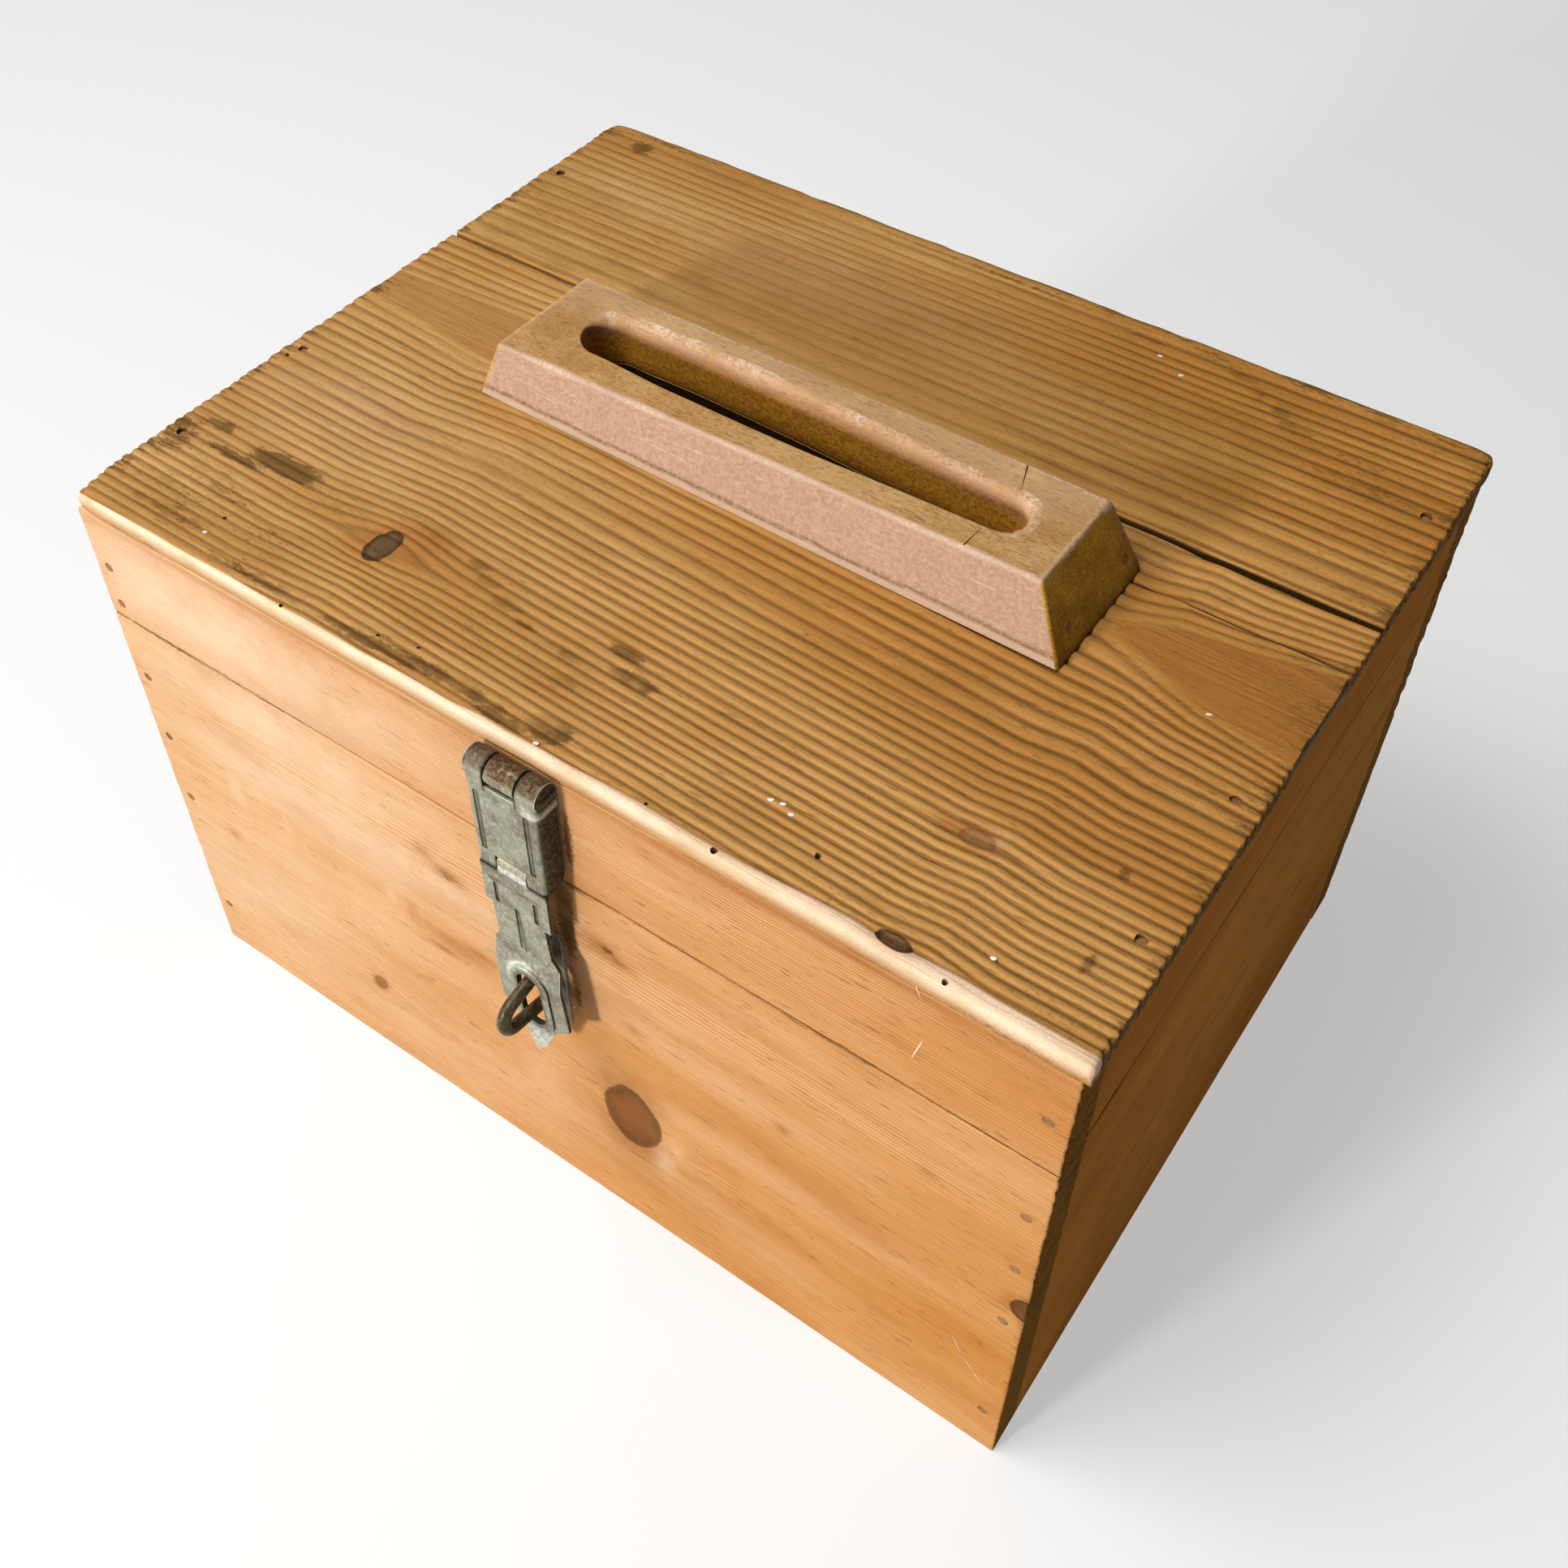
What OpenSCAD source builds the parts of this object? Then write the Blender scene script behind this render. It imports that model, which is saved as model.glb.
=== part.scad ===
// Wooden money box: nailed board walls, a hinged lid with a slotted hardwood block on top,
// and a double-jointed safety hasp closing over a wire staple.
// Origin at the middle of the underside, +Z up, the front faces -Y.

/* [Box] */
// Width of the box, left to right
box_w = 360; // [320:1:400]
// Depth of the box, front to back
box_d = 277; // [250:1:300]
// Height to the top of the closed lid
box_h = 240; // [220:1:260]
// Thickness of the walls and of the lid's rails
wall_t = 15; // [13:0.5:18]
// Thickness of the bottom boards
bottom_t = 10; // [9:0.5:12]

/* [Lid] */
// Height of the lid, from the seam to its top
lid_h = 53.4; // [50:0.1:56]
// Thickness of the lid's two top boards
top_t = 7; // [6:0.5:8]
// Depth of the front top board
front_board_d = 178; // [174:0.5:182]
// Width of the gap between the two top boards
top_gap = 1.6; // [0.5:0.1:2.5]
// How far the top boards stand out past the right side
top_overhang = 2; // [0:0.1:3]

/* [Slot block] */
// Length of the block
block_l = 220; // [205:1:230]
// Width of the block's foot, at the middle of its length
block_w = 57.3; // [52:0.1:60]
// Height of the block at its left end
block_h_left = 17.2; // [14:0.1:20]
// Height of the block at its right end
block_h_right = 22; // [18:0.1:24]
// Length of the coin slot
slot_l = 168; // [150:1:176]
// Width of the slot at its left end
slot_w_left = 22; // [16:0.5:24]
// Width of the slot at its right end
slot_w_right = 16; // [10:0.5:20]

/* [Hasp] */
// Sideways place of the hasp's middle
hasp_x = 4.2; // [-20:0.1:20]
// Width of the hasp's cover link
hasp_w = 27; // [25:0.5:30]
// Thickness of the hasp's sheet steel
hasp_t = 1.2; // [1:0.1:1.4]
// Diameter of the staple's wire
staple_wire_d = 4.4; // [3.8:0.1:4.6]

/* [Hinges] */
// Width of each back hinge
hinge_w = 50; // [40:1:60]
// Height of each hinge leaf
hinge_leaf_h = 21; // [18:0.5:24]
// Distance of each hinge's middle from the box's middle
hinge_x = 105; // [80:1:120]

/* [Hidden] */
$fn = 48;

// running clearance round every pin, nail and screw
fit = 0.05;
// cutters run this far past what they cut
over = 1;
// gap left open between the lid and the body
seam_gap = 0.6;

front_y = -box_d / 2;
back_y = box_d / 2;
seam_z = box_h - lid_h;
body_h = seam_z - seam_gap / 2;
rail_z = seam_z + seam_gap / 2;
rail_h = box_h - top_t - rail_z;
side_l = box_d - 2 * wall_t;
inner_w = box_w - 2 * wall_t;

// nails: one row near each end of the front and back, and others through the sides and the top
nail_r = 1.1;
nail_head_r = 1.7;
nail_head_t = 0.9;
nail_l = 34;
nail_x = box_w / 2 - 6.5;
body_nail_z = [26, 93, 127, 158];
lid_nail_z_left = [193.5, 210];
lid_nail_z_right = [209];
bottom_nail_y = [-92, -32, 32, 92];
top_nail_from_front = [40.5, 95.5, 234];
// the top nails' heads sit this far below the weathered surface
top_nail_sink = 1.6;

body_nails = [for (side = [-1, 1], z = body_nail_z) [side * nail_x, z]];
lid_nails = concat(
    [for (z = lid_nail_z_left) [-nail_x, z]],
    [for (z = lid_nail_z_right) [nail_x, z]]
);
top_nails = [for (side = [-1, 1], y = top_nail_from_front) [side * nail_x, front_y + y]];

// wood screws
screw_r = 1.4;
screw_head_r = 2.9;
screw_head_t = 1.2;
screw_l = 12;

// slot block: planed sloping ends and sides, standing on the front top board
block_x = 2.3;
block_y = 0.9;
block_left = block_x - block_l / 2;
block_right = block_x + block_l / 2;
block_lean_left = 4.1;
block_lean_right = 13;
// how far each long side leans in over the block's full height, and its turn off square
block_near_lean = 8.8;
block_far_lean = 5.6;
block_near_turn = -0.7;
block_far_turn = -0.95;
block_nail_y = 17.5;
block_nail_z = 6.5;
block_nail_l = 24;
block_nail_tilt = 28;
// the slot's left end, and the centres of its two round ends
slot_start = -85;
slot_left = [slot_start + slot_w_left / 2, 4];
slot_right = [slot_start + slot_l - slot_w_right / 2, -0.6];
slot_inset = 0.03;

// hasp: distances forward are measured from the front of the box
top_knuckle_r = 4.6;
top_pin_r = 1.6;
top_pin_out = top_knuckle_r + 0.3;
top_pin_z = 230.8;
hasp_out = top_pin_out + top_knuckle_r;
low_knuckle_r = 2.9;
low_pin_r = 1.25;
low_pin_out = hasp_out - low_knuckle_r;
low_pin_z = 192.6;
knuckle_half = 5.5;
knuckle_gap = 0.35;
// the pins stop this far inside the link's cheeks, which cover their ends
pin_cover = 1;
link_low_z = low_pin_z - low_knuckle_r;
link_notch_z = top_pin_z - 3.7;
link_back_out = 0.8;
link_corner_r = 2.6;
link_groove_x = 9.2;
fixed_leaf_half = 10.5;
fixed_leaf_low_z = 197;
fixed_leaf_screws = [[-5.5, 217], [5.5, 217], [0, 204]];

// hasp arm, from its shoulder down to the bent lip
arm_t = 1.4;
arm_top_z = link_low_z - 0.7;
shoulder_half = 12.7;
shoulder_low_z = 171;
joggle_top_z = 152;
joggle_low_z = 144;
joggle = 1.8;
// below its shoulders the arm hangs this many degrees off square, towards the right
arm_lean = 3.5;
tail_low_z = 122;
lip_top_z = 117;
lip_tip_z = 105.5;
lip_lean = 2.2;
arm_slot_z = 131;
arm_slot_l = 25;
arm_slot_w = 9.2;
arm_rim_w = 3.2;
arm_rim_t = 0.8;

// staple: a flared wire loop, riveted through its plate
staple_z = 130.5;
staple_x = 1.2;
staple_tip_r = 6.2;
staple_tip_out = 17.5;
staple_flare = 12;
// the bend is a hair thicker than the legs that leave it
bend_swell = 0.05;
staple_root = 4;
staple_plate_w = 13;
staple_plate_l = 56;
staple_screw_z = 22.5;

// back hinges
hinge_t = 1.4;
hinge_knuckle_r = 3.3;
hinge_pin_r = 1.6;
hinge_knuckles = 5;
hinge_y = back_y + hinge_knuckle_r + 0.1;
hinge_screw_x = [-17, 0, 17];
hinge_screw_out = [13.5, 10, 13.5];

front_wood = "#dcb084";
side_wood = "#9a6a28";
top_wood = "#a87c3e";
inner_wood = "#c29a66";
block_wood = "#b98f58";
old_steel = "#5b5346";
hasp_steel = "#a8a893";

// ---- fasteners -------------------------------------------------------------------------

// a nail driven down -Z, with the top of its head at the origin
module nail(l) {
    translate([0, 0, -nail_head_t]) cylinder(r = nail_head_r, h = nail_head_t);
    translate([0, 0, -l + 3]) cylinder(r = nail_r, h = l - 3 - nail_head_t / 2);
    translate([0, 0, -l]) cylinder(r1 = 0.2, r2 = nail_r, h = 3);
}

// the hole that a nail of length l fills
module nail_hole(l) {
    translate([0, 0, -nail_head_t - fit]) cylinder(r = nail_head_r + fit, h = nail_head_t + 8);
    translate([0, 0, -l - fit]) cylinder(r = nail_r + fit, h = l);
}

// a countersunk wood screw driven down -Z, with the top of its head at the origin
module screw(l) {
    difference() {
        union() {
            translate([0, 0, -screw_head_t]) cylinder(r1 = screw_r, r2 = screw_head_r, h = screw_head_t);
            translate([0, 0, -l]) cylinder(r = screw_r, h = l - screw_head_t);
        }
        translate([-screw_head_r, -0.35, -0.6]) cube([2 * screw_head_r, 0.7, 1]);
    }
}

// the countersunk hole that a screw of length l fills
module screw_hole(l) {
    translate([0, 0, -screw_head_t - fit])
        cylinder(r1 = screw_r + fit, r2 = screw_head_r + 3 * fit, h = screw_head_t + fit);
    translate([0, 0, -fit]) cylinder(r = screw_head_r + 3 * fit, h = over);
    translate([0, 0, -l - fit]) cylinder(r = screw_r + fit, h = l);
}

// the children, turned to face out of the front at each [x, z] point
module on_front(points, out = 0) {
    for (p = points) translate([p[0], front_y - out, p[1]]) rotate([90, 0, 0]) children();
}

module on_back(points, out = 0) {
    mirror([0, 1, 0]) on_front(points, out) children();
}

module on_top(points) {
    for (p = points) translate([p[0], p[1], box_h - top_nail_sink]) children();
}

// the children, turned to face out of the left and right sides at the bottom boards' height
module on_sides() {
    for (side = [0, 1], y = bottom_nail_y)
        mirror([side, 0, 0]) translate([box_w / 2, y, bottom_t / 2]) rotate([0, 90, 0]) children();
}

// ---- wooden body -----------------------------------------------------------------------

// a front or back board, as wide as the box
module long_board(z, h) {
    translate([-box_w / 2, front_y, z]) cube([box_w, wall_t, h]);
}

// the right-hand side board, between the front and back boards
module side_board(z, h) {
    translate([box_w / 2 - wall_t, -side_l / 2, z]) cube([wall_t, side_l, h]);
}

module body_front() {
    color(front_wood) difference() {
        long_board(0, body_h);
        on_front(body_nails) nail_hole(nail_l);
        staple_holes();
        on_front(staple_screws(), hasp_t) screw_hole(screw_l);
    }
}

module body_back() {
    color(side_wood) difference() {
        mirror([0, 1, 0]) long_board(0, body_h);
        on_back(body_nails) nail_hole(nail_l);
        hinge_screws_at(-1) screw_hole(screw_l);
    }
}

module body_side(side) {
    color(side_wood) difference() {
        mirror([side, 0, 0]) side_board(0, body_h);
        on_front(body_nails) nail_hole(nail_l);
        on_back(body_nails) nail_hole(nail_l);
        on_sides() nail_hole(nail_l);
    }
}

module bottom_board(back) {
    color(inner_wood) difference() {
        mirror([0, back, 0])
            translate([-inner_w / 2, -side_l / 2, 0]) cube([inner_w, side_l / 2 - 0.2, bottom_t]);
        on_sides() nail_hole(nail_l);
    }
}

module body_front_nails() {
    color(old_steel) on_front(body_nails) nail(nail_l);
}

module body_back_nails() {
    color(old_steel) on_back(body_nails) nail(nail_l);
}

module bottom_nails() {
    color(old_steel) on_sides() nail(nail_l);
}

// ---- lid -------------------------------------------------------------------------------

module lid_front_rail() {
    color(front_wood) difference() {
        long_board(rail_z, rail_h);
        on_front(lid_nails) nail_hole(nail_l);
        at_hasp() on_leaf_screws() screw_hole(screw_l);
    }
}

module lid_back_rail() {
    color(side_wood) difference() {
        mirror([0, 1, 0]) long_board(rail_z, rail_h);
        on_back(lid_nails) nail_hole(nail_l);
        hinge_screws_at(1) screw_hole(screw_l);
    }
}

module lid_side_rail(side) {
    color(side_wood) difference() {
        mirror([side, 0, 0]) side_board(rail_z, rail_h);
        on_front(lid_nails) nail_hole(nail_l);
        on_back(lid_nails) nail_hole(nail_l);
        on_top(top_nails) nail_hole(nail_l);
    }
}

// a top board from y0 to y1
module top_board(y0, y1) {
    translate([-box_w / 2, y0, box_h - top_t]) cube([box_w + top_overhang, y1 - y0, top_t]);
}

module lid_front_board() {
    color(top_wood) difference() {
        top_board(front_y, front_y + front_board_d);
        coin_slot();
        on_top(top_nails) nail_hole(nail_l);
        on_block_ends() nail_hole(block_nail_l);
    }
}

module lid_back_board() {
    color(top_wood) difference() {
        top_board(front_y + front_board_d + top_gap, back_y);
        on_top(top_nails) nail_hole(nail_l);
    }
}

// the slot's outline: two round ends of different width, joined by straight sides that start
// just inside them
module coin_slot() {
    run = slot_right - slot_left;
    length = norm(run);
    r1 = slot_w_left / 2;
    r2 = slot_w_right / 2;
    a = acos((r1 - r2) / length);
    side1 = (r1 - slot_inset) * [cos(a), sin(a)];
    side2 = (r2 - slot_inset) * [cos(a), sin(a)];
    translate([0, 0, box_h - top_t - over])
        linear_extrude(top_t + block_h_right + 2 * over)
            translate(slot_left) rotate(atan2(run[1], run[0])) {
                circle(r1);
                translate([length, 0]) circle(r2);
                polygon([
                    side1,
                    [side1[0], -side1[1]],
                    [length + side2[0], -side2[1]],
                    [length + side2[0], side2[1]]
                ]);
            }
}

// everything behind the block's front side, or in front of its back side when mirrored
module behind_block_side(foot, lean) {
    translate([-block_l, 0, box_h]) rotate([90, 0, 90])
        linear_extrude(2 * block_l) polygon([
            [-foot, 0],
            [block_w, 0],
            [block_w, block_h_right + over],
            [-foot + lean * (1 + over / block_h_right), block_h_right + over]
        ]);
}

// the block as the overlap of its front outline and its two leaning long sides
module block_solid() {
    intersection() {
        translate([0, block_w, box_h]) rotate([90, 0, 0])
            linear_extrude(2 * block_w) polygon([
                [block_left, 0],
                [block_right, 0],
                [block_right - block_lean_right, block_h_right],
                [block_left + block_lean_left, block_h_left]
            ]);
        rotate(block_near_turn) behind_block_side(block_w / 2 - block_y, block_near_lean);
        rotate(block_far_turn) mirror([0, 1, 0])
            behind_block_side(block_w / 2 + block_y, block_far_lean);
    }
}

// the block's nails slant down through its two ends into the top board
module on_block_ends() {
    lean = block_nail_z / block_h_right;
    ends = [[block_right - block_lean_right * lean, 1], [block_left + block_lean_left * lean, -1]];
    for (end = ends, side = [-1, 1])
        translate([end[0], side * block_nail_y, box_h + block_nail_z])
            rotate([0, end[1] * (90 - block_nail_tilt), 0]) children();
}

module slot_block() {
    color(block_wood) difference() {
        block_solid();
        coin_slot();
        on_block_ends() nail_hole(block_nail_l);
    }
}

module lid_front_nails() {
    color(old_steel) on_front(lid_nails) nail(nail_l);
}

module lid_back_nails() {
    color(old_steel) on_back(lid_nails) nail(nail_l);
}

module lid_top_nails() {
    color(old_steel) on_top(top_nails) nail(nail_l);
}

module block_nails() {
    color(old_steel) on_block_ends() nail(block_nail_l);
}

// ---- back hinges -----------------------------------------------------------------------

// the screws of every leaf below (dir -1) or above (dir 1) the hinge line
module hinge_screws_at(dir) {
    points = [
        for (side = [-1, 1], i = [0 : 2])
            [side * hinge_x + hinge_screw_x[i], seam_z + dir * hinge_screw_out[i]]
    ];
    on_back(points, hinge_t) children();
}

// one leaf: dir -1 hangs below the pin, dir 1 stands above it; it owns every second knuckle
module hinge_leaf(side, dir) {
    pitch = hinge_w / hinge_knuckles;
    first = dir < 0 ? 0 : 1;
    clear = hinge_knuckle_r + 0.5;
    left = side * hinge_x - hinge_w / 2;
    color(old_steel) difference() {
        union() {
            translate([left, back_y, dir < 0 ? seam_z - hinge_leaf_h : seam_z + clear])
                cube([hinge_w, hinge_t, hinge_leaf_h - clear]);
            for (i = [first : 2 : hinge_knuckles - 1]) translate([left + i * pitch + 0.15, 0, 0]) {
                translate([0, back_y, dir < 0 ? seam_z - clear - over : seam_z])
                    cube([pitch - 0.3, hinge_t, clear + over]);
                translate([0, hinge_y, seam_z]) rotate([0, 90, 0])
                    cylinder(r = hinge_knuckle_r, h = pitch - 0.3);
            }
        }
        translate([left - over, hinge_y, seam_z]) rotate([0, 90, 0])
            cylinder(r = hinge_pin_r + fit, h = hinge_w + 2 * over);
        hinge_screws_at(dir) screw_hole(screw_l);
    }
}

module hinge_pin(side) {
    color(old_steel) translate([side * hinge_x - hinge_w / 2, hinge_y, seam_z]) rotate([0, 90, 0])
        cylinder(r = hinge_pin_r, h = hinge_w);
}

module hinge_body_screws() {
    color(old_steel) hinge_screws_at(-1) screw(screw_l);
}

module hinge_lid_screws() {
    color(old_steel) hinge_screws_at(1) screw(screw_l);
}

// ---- hasp ------------------------------------------------------------------------------

// hasp frame: x from the hasp's middle, y from the front face of the box
module at_hasp() {
    translate([hasp_x, front_y, 0]) children();
}

// a knuckle's barrel or a pin: a cylinder along x from x0 to x1
module barrel(x0, x1, out, z, r) {
    translate([x0, -out, z]) rotate([0, 90, 0]) cylinder(r = r, h = x1 - x0);
}

// a flat plate facing the front, from x0 to x1 and z0 to z1, its face at a distance out
module plate(x0, x1, z0, z1, out, t) {
    translate([x0, -out, z0]) cube([x1 - x0, t, z1 - z0]);
}

module on_leaf_screws() {
    for (p = fixed_leaf_screws) translate([p[0], -hasp_t, p[1]]) rotate([90, 0, 0]) children();
}

module hasp_fixed_leaf() {
    color(hasp_steel) at_hasp() difference() {
        union() {
            plate(-fixed_leaf_half, fixed_leaf_half, fixed_leaf_low_z, 224.5, hasp_t, hasp_t);
            plate(-knuckle_half, knuckle_half, 224, top_pin_z, hasp_t, hasp_t);
            barrel(-knuckle_half, knuckle_half, top_pin_out, top_pin_z, top_knuckle_r);
        }
        barrel(-hasp_w, hasp_w, top_pin_out, top_pin_z, top_pin_r + fit);
        on_leaf_screws() screw_hole(screw_l);
    }
}

module hasp_leaf_screws() {
    color(old_steel) at_hasp() on_leaf_screws() screw(screw_l);
}

module hasp_top_pin() {
    end = hasp_w / 2 - pin_cover;
    color(old_steel) at_hasp() barrel(-end, end, top_pin_out, top_pin_z, top_pin_r);
}

// plan of the link's channel: a flat face with two rounded corners, open to the wood behind
module channel_plan(half, face, back, r) {
    for (side = [-1, 1]) translate([side * (half - r), -face + r]) circle(r);
    translate([-half + r, -face]) square([2 * (half - r), face - back]);
    translate([-half, -face + r]) square([2 * half, face - back - r]);
}

// the link's face and flanges, from its heel up to the top pin
module link_channel() {
    half = hasp_w / 2;
    heel = 5;
    difference() {
        translate([0, 0, link_low_z]) linear_extrude(top_pin_z - link_low_z) difference() {
            channel_plan(half, hasp_out, link_back_out, link_corner_r);
            channel_plan(half - hasp_t, hasp_out - hasp_t, -over, link_corner_r - hasp_t);
        }
        // the flanges' rounded heels
        translate([-half - over, -link_back_out - heel, link_low_z + heel]) rotate([90, 0, 90])
            linear_extrude(hasp_w + 2 * over) difference() {
                translate([0, -heel - over]) square(heel + over);
                circle(heel);
            }
    }
}

module hasp_link() {
    half = hasp_w / 2;
    inner = knuckle_half + knuckle_gap;
    hole_end = half - pin_cover + fit;
    color(hasp_steel) at_hasp() difference() {
        union() {
            link_channel();
            for (side = [0, 1]) mirror([side, 0, 0]) {
                barrel(inner, half - 0.3, top_pin_out, top_pin_z, top_knuckle_r - fit);
                barrel(inner, half - 1.4, low_pin_out, low_pin_z, low_knuckle_r - fit);
            }
        }
        // notches for the fixed leaf's knuckle and for the arm's knuckle
        plate(-inner, inner, link_notch_z, top_pin_z + 10, hasp_out + over, 12);
        plate(-inner, inner, link_low_z - over, low_pin_z + low_knuckle_r + 0.5, hasp_out + over, 12);
        barrel(-hole_end, hole_end, top_pin_out, top_pin_z, top_pin_r + fit);
        barrel(-hole_end, hole_end, low_pin_out, low_pin_z, low_pin_r + fit);
        // two long pressed grooves down the face
        for (side = [-1, 1]) translate([side * link_groove_x, 0, 0])
            groove(196.5, 223.5, hasp_out, 2.2);
    }
}

// a shallow groove with round ends, cut into a face at a distance out
module groove(z0, z1, out, w) {
    translate([0, -out + 0.5, 0]) rotate([90, 0, 0]) linear_extrude(0.5 + over) {
        translate([-w / 2, z0 + w / 2]) square([w, z1 - z0 - w]);
        translate([0, z0 + w / 2]) circle(w / 2);
        translate([0, z1 - w / 2]) circle(w / 2);
    }
}

module hasp_low_pin() {
    end = hasp_w / 2 - pin_cover;
    color(old_steel) at_hasp() barrel(-end, end, low_pin_out, low_pin_z, low_pin_r);
}

// front outline of the arm: square shoulders, a waist, a flared tail and an ogee lip
module arm_outline() {
    half = [
        [shoulder_half, arm_top_z], [shoulder_half, shoulder_low_z],
        [10.2, shoulder_low_z], [10.4, joggle_top_z + 4.5], [12.9, joggle_top_z],
        [13.6, tail_low_z + 1], [11, tail_low_z - 1.5], [7.5, lip_top_z + 1],
        [5.4, lip_top_z - 3], [3.2, lip_tip_z + 3.5], [0, lip_tip_z]
    ];
    left_half = [for (i = [len(half) - 2 : -1 : 0]) [-half[i][0], half[i][1]]];
    polygon([for (p = concat(half, left_half)) [p[0] + arm_shift(p[1]), p[1]]]);
}

// how far the leaning arm's middle has moved to the right at a height
function arm_shift(z) = max(0, shoulder_low_z - z) * tan(arm_lean);

// side outline of the arm's sheet: straight, stepped outwards above the slot, bent out at the lip
module arm_profile() {
    face = [
        [-hasp_out, arm_top_z + over], [-hasp_out, joggle_top_z],
        [-hasp_out - joggle, joggle_low_z], [-hasp_out - joggle, lip_top_z],
        [-hasp_out - joggle - lip_lean, lip_tip_z - over]
    ];
    back = [for (i = [len(face) - 1 : -1 : 0]) [face[i][0] + arm_t, face[i][1]]];
    polygon(concat(face, back));
}

// a slot outline with round ends, standing on end, leaning with the arm
module arm_slot_outline(grow) {
    r = arm_slot_w / 2 + grow;
    straight = arm_slot_l - arm_slot_w;
    translate([arm_shift(arm_slot_z), arm_slot_z]) rotate(arm_lean) {
        for (side = [-1, 1]) translate([0, side * straight / 2]) circle(r);
        translate([-r, -straight / 2]) square([2 * r, straight]);
    }
}

module hasp_arm() {
    tail_out = hasp_out + joggle;
    color(hasp_steel) at_hasp() difference() {
        union() {
            intersection() {
                rotate([90, 0, 0]) linear_extrude(30) arm_outline();
                translate([-hasp_w / 2, 0, 0]) rotate([90, 0, 90])
                    linear_extrude(hasp_w + 5) arm_profile();
            }
            barrel(-knuckle_half, knuckle_half, low_pin_out, low_pin_z, low_knuckle_r - fit);
            plate(-knuckle_half, knuckle_half, arm_top_z - 0.5, low_pin_z, hasp_out, arm_t);
            // the raised rim round the slot
            translate([0, -tail_out + 0.4, 0]) rotate([90, 0, 0])
                linear_extrude(arm_rim_t + 0.4) arm_slot_outline(arm_rim_w);
        }
        barrel(-hasp_w, hasp_w, low_pin_out, low_pin_z, low_pin_r + fit);
        translate([0, -hasp_out + 6, 0]) rotate([90, 0, 0]) linear_extrude(14) arm_slot_outline(0);
        groove(153.5, 174, hasp_out, 1.8);
        for (side = [-1, 1]) translate([side * 7.6, 0, 0]) groove(172, 182, hasp_out, 1.6);
    }
}

// ---- staple ----------------------------------------------------------------------------

function staple_screws() = [for (side = [-1, 1]) [hasp_x + staple_x, staple_z + side * staple_screw_z]];

// the staple's two straight legs, from the tip's arc back through the plate
module staple_legs(r, length) {
    translate([staple_x, -staple_tip_out, staple_z]) for (side = [0, 1]) mirror([0, 0, side])
        rotate([staple_flare - 90, 0, 0]) translate([0, -staple_tip_r, -0.3])
            cylinder(r = r, h = length + 0.3);
}

staple_leg_l = (staple_tip_out + staple_root) / cos(staple_flare);

module staple_holes() {
    at_hasp() staple_legs(staple_wire_d / 2 + fit, staple_leg_l + fit + 2);
}

module staple() {
    r = staple_wire_d / 2;
    color(old_steel) at_hasp() {
        staple_legs(r, staple_leg_l);
        translate([staple_x, -staple_tip_out, staple_z]) rotate([0, 90, 0]) rotate([0, 0, 180 + staple_flare])
            rotate_extrude(angle = 180 - 2 * staple_flare) translate([staple_tip_r, 0]) circle(r + bend_swell);
    }
}

module staple_plate() {
    half = staple_plate_w / 2;
    straight = staple_plate_l - staple_plate_w;
    color(hasp_steel) difference() {
        at_hasp() translate([staple_x, 0, staple_z]) rotate([90, 0, 0]) linear_extrude(hasp_t) {
            for (side = [-1, 1]) translate([0, side * straight / 2]) circle(half);
            square([staple_plate_w, straight], center = true);
        }
        staple_holes();
        on_front(staple_screws(), hasp_t) screw_hole(screw_l);
    }
}

module staple_plate_screws() {
    color(old_steel) on_front(staple_screws(), hasp_t) screw(screw_l);
}

// ---- what is drawn ---------------------------------------------------------------------

body_front();
body_back();
body_side(1);  // body_left_side
body_side(0);  // body_right_side
bottom_board(0);  // bottom_front_board
bottom_board(1);  // bottom_back_board
body_front_nails();
body_back_nails();
bottom_nails();
staple_plate();
staple();
staple_plate_screws();
hinge_leaf(-1, -1);  // hinge_left_body_leaf
hinge_leaf(1, -1);  // hinge_right_body_leaf
hinge_pin(-1);  // hinge_left_pin
hinge_pin(1);  // hinge_right_pin
hinge_body_screws();
lid_front_rail();
lid_back_rail();
lid_side_rail(1);  // lid_left_rail
lid_side_rail(0);  // lid_right_rail
lid_front_board();
lid_back_board();
slot_block();
lid_front_nails();
lid_back_nails();
lid_top_nails();
block_nails();
hinge_leaf(-1, 1);  // hinge_left_lid_leaf
hinge_leaf(1, 1);  // hinge_right_lid_leaf
hinge_lid_screws();
hasp_fixed_leaf();
hasp_leaf_screws();
hasp_top_pin();
hasp_link();
hasp_low_pin();
hasp_arm();
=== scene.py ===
"""Looks of the wooden money box: weathered boards, beech slot block, worn hasp, camera and lights."""

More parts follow.
